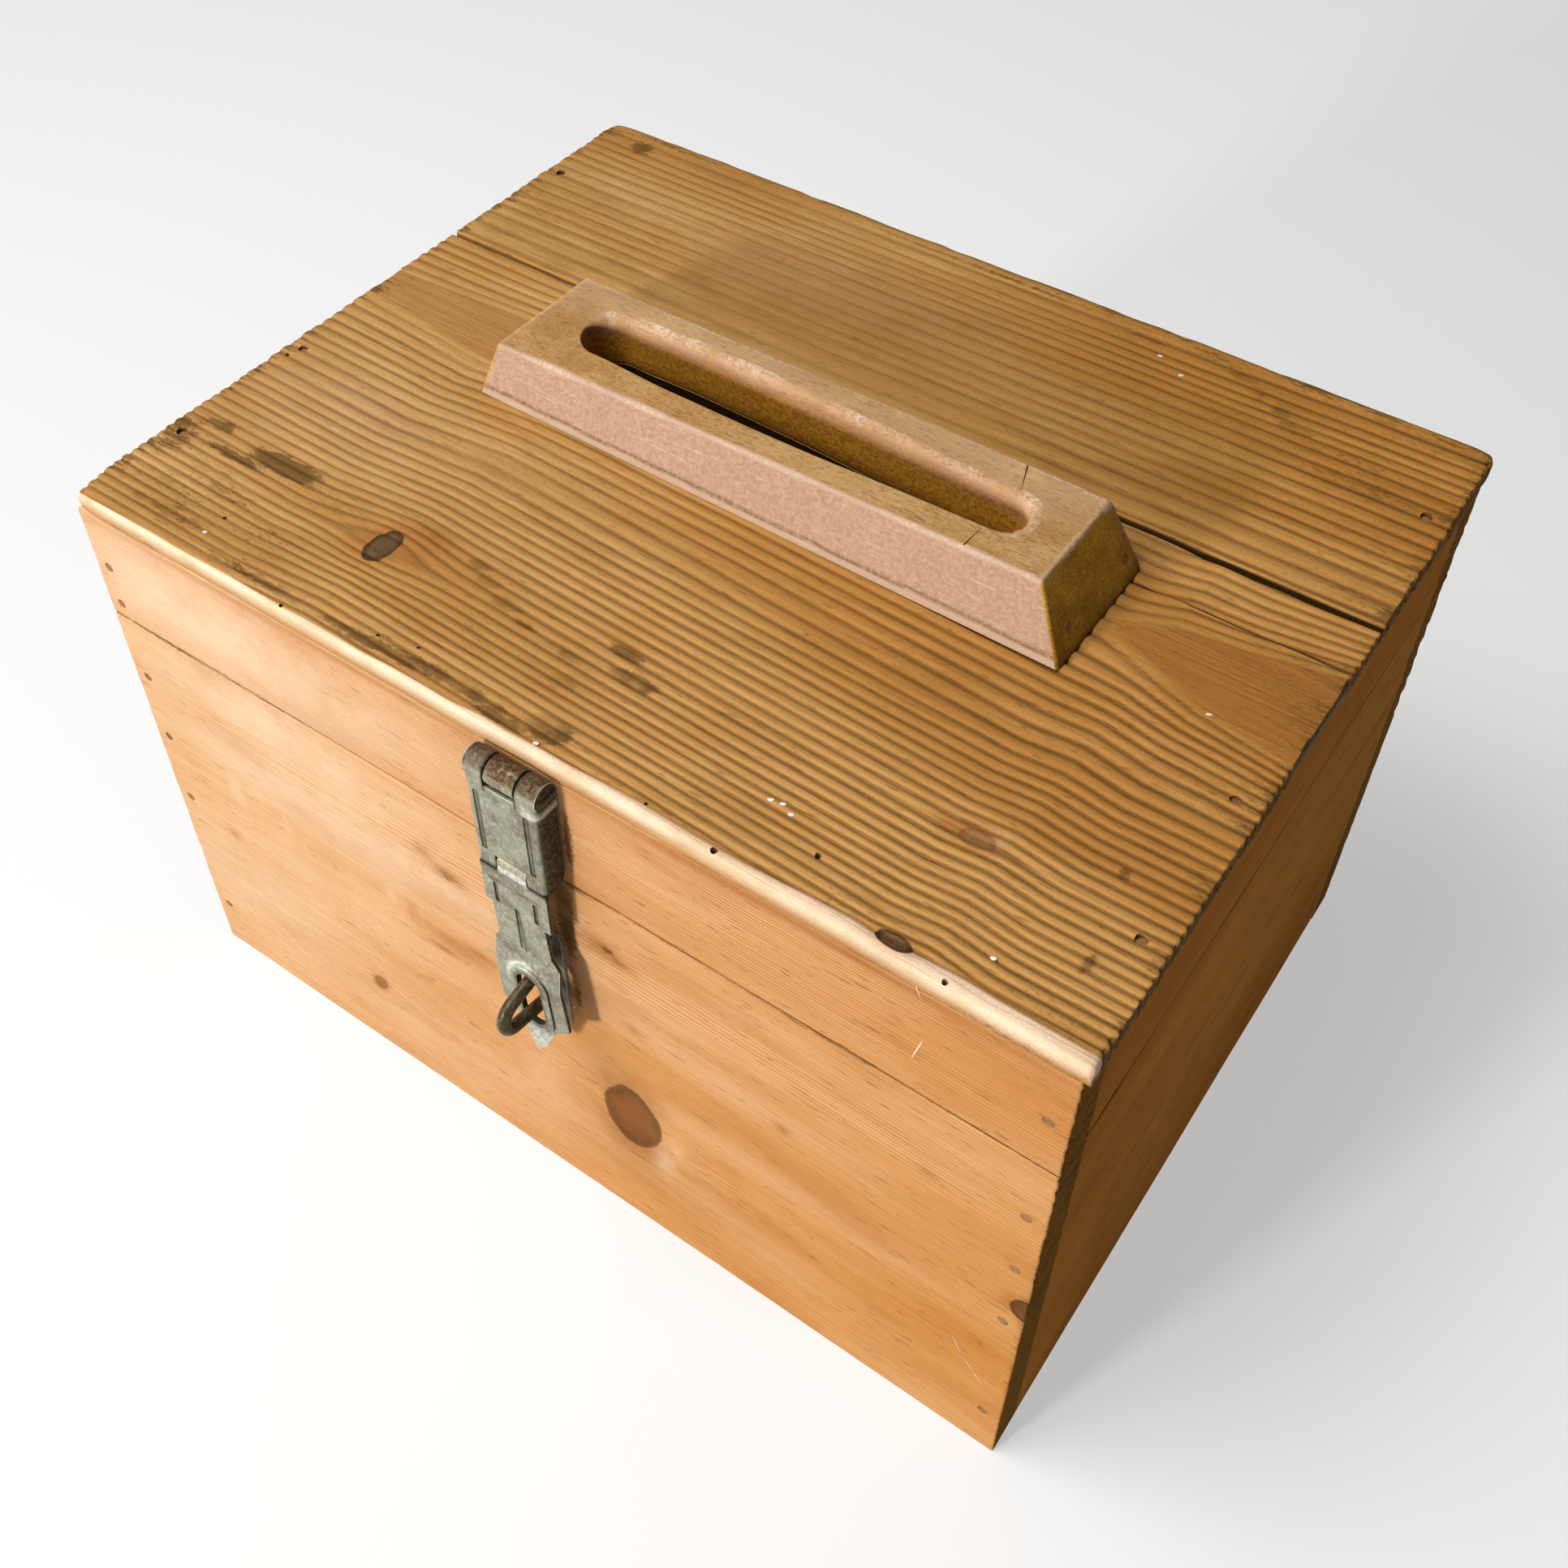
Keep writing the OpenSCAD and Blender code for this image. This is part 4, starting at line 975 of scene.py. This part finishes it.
# the long sides' feet: y where x is 0, and how much y falls for each unit of x
BLOCK_NEAR_Y, BLOCK_NEAR_FALL = -27.75 * MM, math.tan(math.radians(0.7))
BLOCK_FAR_Y, BLOCK_FAR_FALL = 29.55 * MM, math.tan(math.radians(0.95))


def rounded(before, corner, after, reach, count=6):
    """Points of a soft corner, starting and ending reach away from it on its two sides."""
    def back(towards):
        way = towards - corner
        length = np.linalg.norm(way, axis=1, keepdims=True)
        return corner + way / length * np.minimum(reach[:, None], length * 0.45)
    start, end = back(before), back(after)
    return [(1 - t) ** 2 * start + 2 * t * (1 - t) * corner + t * t * end
            for t in np.linspace(0, 1, count)]


def between(a, b, count):
    """Points strictly between two rows of points."""
    return [a + (b - a) * t for t in np.linspace(0, 1, count + 2)[1:-1]]


def block_plan(lo, hi, width):
    """Points round the slot block's rectangle, x along it and y from 0 to width across it."""
    xs = spaced(lo[X], hi[X], 1.5 * MM, 0.5 * MM, 3 * MM)
    ys = spaced(0.0, width, 1.2 * MM, 0.5 * MM, 3 * MM)
    return np.vstack([
        np.column_stack([xs[:-1], np.zeros(len(xs) - 1)]),
        np.column_stack([np.full(len(ys) - 1, hi[X]), ys[:-1]]),
        np.column_stack([xs[:0:-1], np.full(len(xs) - 1, width)]),
        np.column_stack([np.full(len(ys) - 1, lo[X]), ys[:0:-1]]),
    ])


def block_top(b, x):
    """The height of the block b's top at x: it is lower towards the left."""
    share = (x - b.lo[X]) / (b.hi[X] - b.lo[X])
    return b.lo[Z] + (b.hi[Z] - b.lo[Z]) * (BLOCK_LEFT_SHARE + (1 - BLOCK_LEFT_SHARE) * share)


def block_across(x, share, rise):
    """y at a share of the way from the block's near side to its far one, rise above its foot."""
    near = BLOCK_NEAR_Y - x * BLOCK_NEAR_FALL + BLOCK_NEAR_SLOPE * rise
    far = BLOCK_FAR_Y - x * BLOCK_FAR_FALL - BLOCK_FAR_SLOPE * rise
    return near + share * (far - near)


def block_rows(b):
    """Gives the block b its rows of points round the slot: from the slot's floor over to the foot."""
    lo, hi, loop = b.lo, b.hi, b.loop
    width = BLOCK_FAR_Y - BLOCK_NEAR_Y
    # the far right corner is worn round, most at its foot
    worn_corner = (loop[:, 0] > hi[X] - 9 * MM) & (loop[:, 1] > width - 9 * MM)
    plan_lo, plan_hi = np.array((lo[X], 0.0)), np.array((hi[X], width))
    b.plan, _ = soften(loop, plan_lo, plan_hi, np.where(worn_corner, 8, 1.2) * MM)
    top_plan, _ = soften(loop, plan_lo, plan_hi, np.full(len(loop), 1.2 * MM))

    share = (top_plan[:, 0] - lo[X]) / (hi[X] - lo[X])
    crest_x = lo[X] + BLOCK_LEAN_LEFT + share * (hi[X] - lo[X] - BLOCK_LEAN_LEFT - BLOCK_LEAN_RIGHT)
    crest_z = block_top(b, crest_x)
    foot_xy = np.column_stack([b.plan[:, 0], block_across(b.plan[:, 0], b.plan[:, 1] / width, 0)])
    crest_y = block_across(crest_x, top_plan[:, 1] / width, crest_z - lo[Z])
    crest = np.column_stack([crest_x, crest_y, crest_z])
    rim_xy, way = worn_slot(foot_xy)
    rim = np.column_stack([rim_xy, block_top(b, rim_xy[:, 0])])
    floor = np.column_stack([rim_xy, np.full(len(loop), lo[Z])])
    base = np.column_stack([foot_xy, np.full(len(loop), lo[Z])])

    b.wear = fractal(foot_xy[:, 0] / 0.02, foot_xy[:, 1] / 0.02, 83, 3)
    b.far_side = step(-0.2, 0.8, way[:, 1])
    b.far_or_right = np.maximum(b.far_side, step(0.2, 0.9, way[:, 0]))
    rim_reach = (0.8 + 2.6 * b.far_or_right * (1 + 0.5 * b.wear) + 0.4 * b.wear) * MM
    crest_reach = (0.9 + 0.7 * np.clip(b.wear, -0.4, 1) + 1.0 * worn_corner) * MM
    foot_reach = np.full(len(loop), 0.5 * MM)
    soft_rim = rounded(floor, rim, crest, rim_reach, 8)
    soft_crest = rounded(rim, crest, base, crest_reach, 6)
    soft_foot = rounded(crest, base, floor, foot_reach, 3)
    soft_floor = rounded(base, floor, rim, foot_reach, 3)
    b.groups = {
        "floor": soft_floor,
        "wall": between(soft_floor[-1], soft_rim[0], 20),
        "rim": soft_rim,
        "deck": between(soft_rim[-1], soft_crest[0], 12),
        "crest": soft_crest,
        "side": between(soft_crest[-1], soft_foot[0], 26),
        "foot": soft_foot,
        "under": between(soft_foot[-1], soft_floor[0], 3),
    }


def block_fields(b, points):
    """What the beech is told at each of the block's points."""
    x, y, z = points.T
    round_slot = len(b.loop)
    rows = len(points) // round_slot
    zone = np.repeat([name for name, group in b.groups.items() for _ in group], round_slot)
    along_group = np.concatenate([np.linspace(0, 1, len(group)) for group in b.groups.values()])
    place = np.repeat(along_group, round_slot)
    rise = (z - b.lo[Z]) / MM
    below_rim = np.clip((block_top(b, x) - z) / (b.hi[Z] - b.lo[Z] + 6 * MM), 0, 1)
    from_end = np.minimum(b.plan[:, 0] - b.lo[X], b.hi[X] - b.plan[:, 0])
    at_end = np.tile(from_end < 0.9 * MM, rows)
    near = np.tile(b.plan[:, 1] < 0.9 * MM, rows) & ~at_end
    far_right = np.tile(b.far_or_right, rows)
    far_wall = np.tile(b.far_side, rows)
    worn = np.tile(b.wear, rows)
    sides = (zone == "side") | (zone == "foot")
    hollow = (zone == "wall") | (zone == "floor")
    broken = fractal(x / (9 * MM), z / (3 * MM), 89, 3)
    # a pale strip with a dark line over it runs along the foot of the near side
    strip = near * sides * step(2.6, 1.9, rise + 0.5 * broken)
    line = near * sides * bump(rise + 0.4 * broken, 2.9, 0.55)
    return {
        "end": sides & at_end,
        "pink": (sides | (zone == "crest")) * np.where(near, 1.0, np.where(at_end, 0.0, 0.35)),
        "inside": np.where(hollow, below_rim, 0.06 * (zone == "rim") * (1 - far_right)),
        "blush": far_right * ((zone == "wall") * bump(below_rim, 0.12, 0.10) * 0.9
                              + (zone == "rim") * (1 - place) * (0.8 + 0.3 * broken)),
        "pale": np.clip((zone == "rim") * far_right * place * (0.55 + 0.8 * worn + 0.5 * broken)
                        + (zone == "crest") * (0.45 + 0.6 * worn) + 0.28 * strip
                        + 0.22 * (zone == "deck") * far_wall, 0, 1),
        "dirt_and_shade": np.clip(0.85 * line + hollow * 0.7 * step(0.55, 0.9, below_rim)
                        + sides * ~near * step(4.5, 0.0, rise) * 0.8, 0, 1),
    }


def slot_block():
    """The slot block: a ring of cross-sections round the slot, with worn rims and edges."""
    b = SimpleNamespace()
    b.lo, b.hi = (np.array(c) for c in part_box("slot_block"))
    b.loop = block_plan(b.lo, b.hi, BLOCK_FAR_Y - BLOCK_NEAR_Y)
    block_rows(b)
    points = np.vstack([row for group in b.groups.values() for row in group])
    index = np.arange(len(points)).reshape(-1, len(b.loop))
    next_row = np.roll(index, -1, 0)
    quads = np.stack([index, np.roll(index, -1, 1), np.roll(next_row, -1, 1), next_row], -1)
    piece = new_piece("slot_block_wood", points, quads.reshape(-1, 4), block_fields(b, points))
    cracks = [
        crack((75 * MM, 11.5 * MM, 0.2604), (71 * MM, 22.6 * MM, 0.2602), 0.5 * MM, 3 * MM),
        crack((74 * MM, -9.8 * MM, 0.2604), (73.5 * MM, -19.4 * MM, 0.2604), 0.5 * MM, 3 * MM),
    ]
    cut(piece, nail_holes("block_nails", proud=4 * MM) + cracks)
    finish(piece, BEECH, "lid", "beech", "slot_block")


slot_block()

# ---- metal -----------------------------------------------------------------------------


def worn_copy(node, body, slot, material, voxel, dents, seed, marks=None):
    """A CAD node remeshed with softened edges and faint dents, marked where it is worn, rusty, dirty and
    shaded.

    marks, if given, takes the points in mm and the normals, and returns extra rust, grime with painted
    shade, and wear with painted highlights for each point.
    """
    work = welded(node)
    mesh = bpy.data.meshes.new(node + "_metal")
    work.to_mesh(mesh)
    work.free()
    piece = shown(node + "_metal", mesh)
    remesh = piece.modifiers.new("remesh", "REMESH")
    remesh.mode = "VOXEL"
    remesh.voxel_size = voxel
    smooth = piece.modifiers.new("smooth", "SMOOTH")
    smooth.factor = 0.5
    smooth.iterations = 2
    settle(piece)
    mesh = piece.data
    count = len(mesh.vertices)
    points = vectors(mesh, "co")
    normals = vectors(mesh, "normal")
    edges = np.zeros(len(mesh.edges) * 2, np.int64)
    mesh.edges.foreach_get("vertices", edges)
    a, b = edges.reshape(-1, 2).T
    degree = np.bincount(a, minlength=count) + np.bincount(b, minlength=count)

    def spread(values):
        total = np.bincount(a, values[b], count) + np.bincount(b, values[a], count)
        return total / np.maximum(degree, 1)

    middle = np.column_stack([spread(points[:, k]) for k in range(3)])
    bulge = np.einsum("ij,ij->i", points - middle, normals) / voxel
    for _ in range(5):
        bulge = 0.5 * bulge + 0.5 * spread(bulge)
    rust, grime_and_shade, wear = marks(points / MM, normals) if marks else (0, 0, 0)
    # hollows get rust, and a dark coat that paints their shade
    hollow = step(0.03, 0.12, -bulge)
    fields = {
        "rust": rust + 0.35 * hollow,
        "grime_and_shade": grime_and_shade + 0.7 * hollow,
        "wear": wear + step(0.03, 0.12, bulge),
    }
    x, y, z = points.T
    push = dents * fractal((x + y) / (6 * MM), (z - y) / (6 * MM), seed, 3)
    points = points + normals * push[:, None]
    mesh.vertices.foreach_set("co", points.reshape(-1))
    add_fields(mesh, {name: np.clip(values, 0, 1) for name, values in fields.items()})
    mesh.shade_smooth()
    finish(piece, material, body, slot, node)


HASP_X = (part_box("hasp_link")[0].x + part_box("hasp_link")[1].x) / 2 / MM


def within_span(value, low, high, soft=0.4):
    """1 where value lies from low to high, 0 outside, with soft ends."""
    return step(low - soft, low + soft, value) * step(high + soft, high - soft, value)


def link_marks(points, normals):
    """Rust on the knuckles, painted shade on the cheeks, in the ribs and in the gaps, grime on the
    knuckles' tops, and wear, for the hasp's link.
    """
    x, y, z = points.T
    across = x - HASP_X
    broken = fractal(x / 3, z / 3, 91, 3)
    rust = within_span(z, 228, 240) * step(0.1, 0.6, normals[:, Z]) * (1.0 + 0.5 * broken)
    rust += 0.5 * bump(z, 194.5, 1.8) * np.clip(0.4 + broken, 0, 1)
    # painted shade on both cheeks, down the ribs by the edges, most on the right, and in the gaps over the
    # arm and between the knuckles; then grime on the knuckles' tops
    grime_and_shade = 0.95 * step(0.5, 0.85, normals[:, X]) + 0.6 * step(0.5, 0.85, -normals[:, X])
    grime_and_shade += 0.8 * bump(np.abs(across), 9.2, 0.8) * within_span(z, 196.5, 223.5)
    grime_and_shade += 0.35 * bump(across, 10.8, 1.0) * within_span(z, 196, 222)
    grime_and_shade += 0.9 * bump(z, 189.8, 0.7) + 0.8 * bump(np.abs(across), 5.8, 0.45) * within_span(z, 189, 196)
    grime_and_shade += 0.9 * bump(np.abs(across), 5.8, 0.6) * within_span(z, 225, 238)
    grime_and_shade += 0.45 * step(0.2, 0.7, normals[:, Z]) * within_span(z, 229, 240) * np.clip(0.8 - broken, 0, 1)
    wear = 0.7 * within_span(z, 224, 229) * step(6, 9, across) * np.clip(0.6 + broken, 0, 1)
    # no bright edges down in the gaps between the knuckles
    wear -= 2 * bump(np.abs(across), 5.8, 0.9) * within_span(z, 225, 240) + 1.5 * bump(z, 189.8, 0.9)
    return rust, grime_and_shade, wear


def arm_marks(points, normals):
    """Rust at the hinge and bends, painted shade on the sides and in the ribs, gaps and slot, bright worn
    edges and lip, and painted highlights on the lip and the slot's rim, for the hasp's arm.
    """
    x, y, z = points.T
    lean = math.tan(math.radians(3.5)) * np.clip(171 - z, 0, 60)
    across = x - HASP_X - lean
    broken = fractal(x / 3, z / 3, 97, 3)
    rust = 0.8 * bump(z, 183.2, 0.9) * step(12, 8, np.abs(across)) * np.clip(0.7 + broken, 0, 1)
    rust += 0.7 * bump(z, 190.5, 1.6) * np.clip(0.1 + broken, 0, 1)
    rust += 0.5 * bump(z, 150, 2.0) * step(4, 8, np.abs(across)) * np.clip(broken + 0.2, 0, 1)
    # painted shade on both sides, down the middle rib, in the gap under the link, in the grooves by the
    # knuckle and inside the slot round the staple
    grime_and_shade = 0.95 * step(0.5, 0.85, normals[:, X]) + 0.5 * step(0.5, 0.85, -normals[:, X])
    grime_and_shade += 0.75 * bump(across, 0, 0.9) * within_span(z, 153.5, 174)
    grime_and_shade += 0.9 * bump(z, 188.9, 0.8) * step(5.6, 6.4, np.abs(across))
    grime_and_shade += 0.75 * bump(np.abs(across), 7.6, 0.8) * within_span(z, 172, 182)
    inside_slot = np.hypot(across / 4.7, np.clip(np.abs(z - 131) - 8, 0, None) / 4.7)
    grime_and_shade += 0.8 * step(1.35, 1.0, inside_slot)
    # the lip is worn bright, and this also paints its highlight
    wear = 0.8 * step(118, 113, z) * np.clip(0.75 + broken, 0, 1)
    wear += 1.6 * bump(z, 190.5, 1.2) * step(-0.2, 0.6, -normals[:, Y]) * step(5.6, 5.2, np.abs(across))
    wear -= 1.5 * bump(z, 189.0, 0.9) * step(5.6, 6.2, np.abs(across))
    # a painted highlight on the upper left of the slot's rim
    painted_rim_highlight = bump(inside_slot, 1.75, 0.22) * step(133, 140, z) * step(3, -1, across)
    wear += 0.9 * painted_rim_highlight
    return rust, grime_and_shade, wear


def plate_marks(points, normals):
    """Even patchy rust and grime for the plate behind the arm, laid all over it so that they also paint
    its shade.
    """
    x, y, z = points.T
    broken = fractal(x / 3, z / 3, 101, 3)
    return 0.45 * np.clip(0.5 + broken, 0, 1), 0.5 * np.clip(0.6 - broken, 0, 1), 0 * x


def staple_marks(points, normals):
    """Patchy rust and grime for the wire staple."""
    x, y, z = points.T
    broken = fractal(x / 2.5 + y / 3, z / 2.5, 103, 3)
    return 0.7 * np.clip(0.3 + broken, 0, 1), 0.4 * np.clip(0.2 - broken, 0, 1), 0 * x


worn_copy("hasp_link", "hasp_link", "hasp_steel", HASP_STEEL, 0.20 * MM, 0.06 * MM, 5, link_marks)
worn_copy("hasp_arm", "hasp_arm", "hasp_steel", HASP_STEEL, 0.20 * MM, 0.10 * MM, 6, arm_marks)
worn_copy("hasp_fixed_leaf", "lid", "hasp_steel", HASP_STEEL, 0.30 * MM, 0.05 * MM, 7, link_marks)
worn_copy("staple_plate", "box", "hasp_steel", HASP_STEEL, 0.24 * MM, 0.05 * MM, 8, plate_marks)
worn_copy("staple", "box", "dark_steel", DARK_STEEL, 0.20 * MM, 0.06 * MM, 9, staple_marks)
for side in ("left", "right"):
    for part, body in (("body", "box"), ("lid", "lid")):
        worn_copy(f"hinge_{side}_{part}_leaf", body, "hinge_steel", HINGE_STEEL, 0.34 * MM, 0.05 * MM, 10)

PLAIN_METAL = [
    (NAIL_STEEL, ("body_front_nails", "body_back_nails", "bottom_nails", "lid_front_nails",
                  "lid_back_nails", "lid_top_nails", "block_nails")),
    (DARK_STEEL, ("staple_plate_screws", "hasp_leaf_screws", "hasp_top_pin", "hasp_low_pin")),
    (HINGE_STEEL, ("hinge_body_screws", "hinge_lid_screws", "hinge_left_pin", "hinge_right_pin")),
]
for material, nodes in PLAIN_METAL:
    for node in nodes:
        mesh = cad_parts[node].data
        mesh.materials.clear()
        mesh.materials.append(material)

# ---- paint specks and scratches --------------------------------------------------------


def flake(start, end, width, out, seed):
    """A thin irregular fleck between two points, a little proud of the wood and set into it."""
    start, end, out = Vector(start), Vector(end), Vector(out)
    along = (end - start) / 2
    over = along.cross(out).normalized() * width / 2
    turn = np.linspace(0, 2 * math.pi, 14, endpoint=False)
    ragged = 1 + 0.3 * noise(3 * np.cos(turn) + 9, 3 * np.sin(turn) + seed, seed)
    ring = [along * float(r * math.cos(a)) + over * float(r * math.sin(a)) for r, a in zip(ragged, turn)]
    middle = (start + end) / 2
    # a small flat top, a rim just above the wood and a foot set into it
    levels = ((0.7, 0.10 * MM), (1.0, 0.03 * MM), (0.8, -0.9 * MM))
    return loft([[middle + p * wide + out * rise for p in ring] for wide, rise in levels])


def flakes(name, body, material, rows, out):
    """One piece holding a flake for each (start, end, width) row."""
    solids = [flake(start, end, width, out, seed) for seed, (start, end, width) in enumerate(rows)]
    piece = new_piece(name, *joined(solids))
    finish(piece, material, body, None)


# (x, y) of white specks on the top, and (x, z) pairs of scratches and smears on the front, in mm
PAINT_SPECKS = [
    (-130.4, -127.6), (72.4, -114.4), (75.9, -113.7), (79.7, -115.4), (8.3, -135.1), (69.1, 122.7),
    (79.6, 116.8), (154.4, -19.2), (146.3, -124.0),
]
SCRATCHES = [
    ((134.2, 202), (137, 213.5), 0.5), ((133, 234.5), (134.6, 230), 0.5),
    ((159, 63), (163, 55), 0.4), ((163, 55), (168, 48), 0.4), ((168, 48), (172, 43), 0.4),
]
# the heights of the lid's lower edge and of the box's top, in mm
SEAM, BOX_TOP = 186.6, 240
PAINT = chalky("paint", (0.74, 0.72, 0.68))
SCRATCHED = chalky("scratched_wood", (0.70, 0.52, 0.36))


def before_front(x, z):
    """A place on the front face, from x and z in mm."""
    return (x * MM, FRONT, z * MM)


def scratch_rows(low, high):
    """The scratches that start between two heights, as rows for flakes()."""
    return [(before_front(*a), before_front(*b), width * MM)
            for a, b, width in SCRATCHES if low < a[1] < high]


# each speck is a short fleck laid across its place
specks = []
for x, y in PAINT_SPECKS:
    specks.append((((x - 0.9) * MM, (y - 0.3) * MM, TOP - 0.15 * MM),
                   ((x + 0.8) * MM, (y + 0.3) * MM, TOP - 0.15 * MM), 1.1 * MM))
flakes("lid_paint_specks", "lid", PAINT, specks, (0, 0, 1))
flakes("body_scratches", "box", SCRATCHED, scratch_rows(0, SEAM), (0, -1, 0))
flakes("lid_scratches", "lid", SCRATCHED, scratch_rows(SEAM, BOX_TOP), (0, -1, 0))

# ---- stage -----------------------------------------------------------------------------

# the camera, solved from the photo's perspective; places are in metres
LENS_MM = 41.17
SENSOR_MM = 36
# the photo is a crop, so the middle of the lens isn't quite the middle of the picture
SHIFT = (0.01744, -0.0787)
CAMERA_PLACE = (0.24499, -0.36446, 0.60993)
CAMERA_FORWARD = (-0.40029, 0.56496, -0.72152)
CAMERA_RIGHT = (0.81657, 0.57725, -0.00103)
WORLD_LIGHT = 0.11


def area_light(name, place, target, size, power, colour=(1, 1, 1)):
    """A square soft light at place, aimed at target."""
    lamp = bpy.data.lights.new(name, "AREA")
    lamp.shape = "SQUARE"
    lamp.size = size
    lamp.energy = power
    lamp.color = colour
    holder = shown(name, lamp)
    holder.location = place
    holder.rotation_euler = (Vector(target) - Vector(place)).to_track_quat("-Z", "Y").to_euler()


def floor():
    """A plain pale floor that glows a little, so that it stays nearly white."""
    piece = new_piece("floor", [(-4, -4, 0), (4, -4, 0), (4, 4, 0), (-4, 4, 0)], [(0, 1, 2, 3)])
    material = bpy.data.materials.new("floor")
    material.use_nodes = True
    shader = material.node_tree.nodes["Principled BSDF"]
    shader.inputs["Base Color"].default_value = (0.38, 0.38, 0.378, 1)
    shader.inputs["Roughness"].default_value = 0.9
    shader.inputs["Emission Color"].default_value = (1, 1, 1, 1)
    shader.inputs["Emission Strength"].default_value = 0.46
    piece.data.materials.append(material)


def camera():
    """The camera, where the photo was taken from."""
    lens = bpy.data.cameras.new("camera")
    lens.sensor_width = SENSOR_MM
    lens.lens = LENS_MM
    lens.shift_x, lens.shift_y = SHIFT
    lens.clip_start = 0.01
    holder = shown("camera", lens)
    forward = Vector(CAMERA_FORWARD).normalized()
    right = Vector(CAMERA_RIGHT).normalized()
    turn = Matrix((right, right.cross(forward), -forward)).transposed().to_4x4()
    holder.matrix_world = Matrix.Translation(CAMERA_PLACE) @ turn
    bpy.context.scene.camera = holder


def surroundings():
    """A faint even white light from all round."""
    world = bpy.data.worlds.new("studio")
    world.use_nodes = True
    background = world.node_tree.nodes["Background"]
    background.inputs["Color"].default_value = (1, 1, 1, 1)
    background.inputs["Strength"].default_value = WORLD_LIGHT
    bpy.context.scene.world = world


floor()
camera()
area_light("key", (-0.55, -2.1, 0.78), (-0.02, -0.1, 0.14), 0.3, 41, (1.0, 0.98, 0.95))
area_light("top", (-0.6, -0.6, 1.8), (0, 0, 0.2), 1.0, 37)
surroundings()
bpy.context.scene.view_settings.view_transform = "Standard"
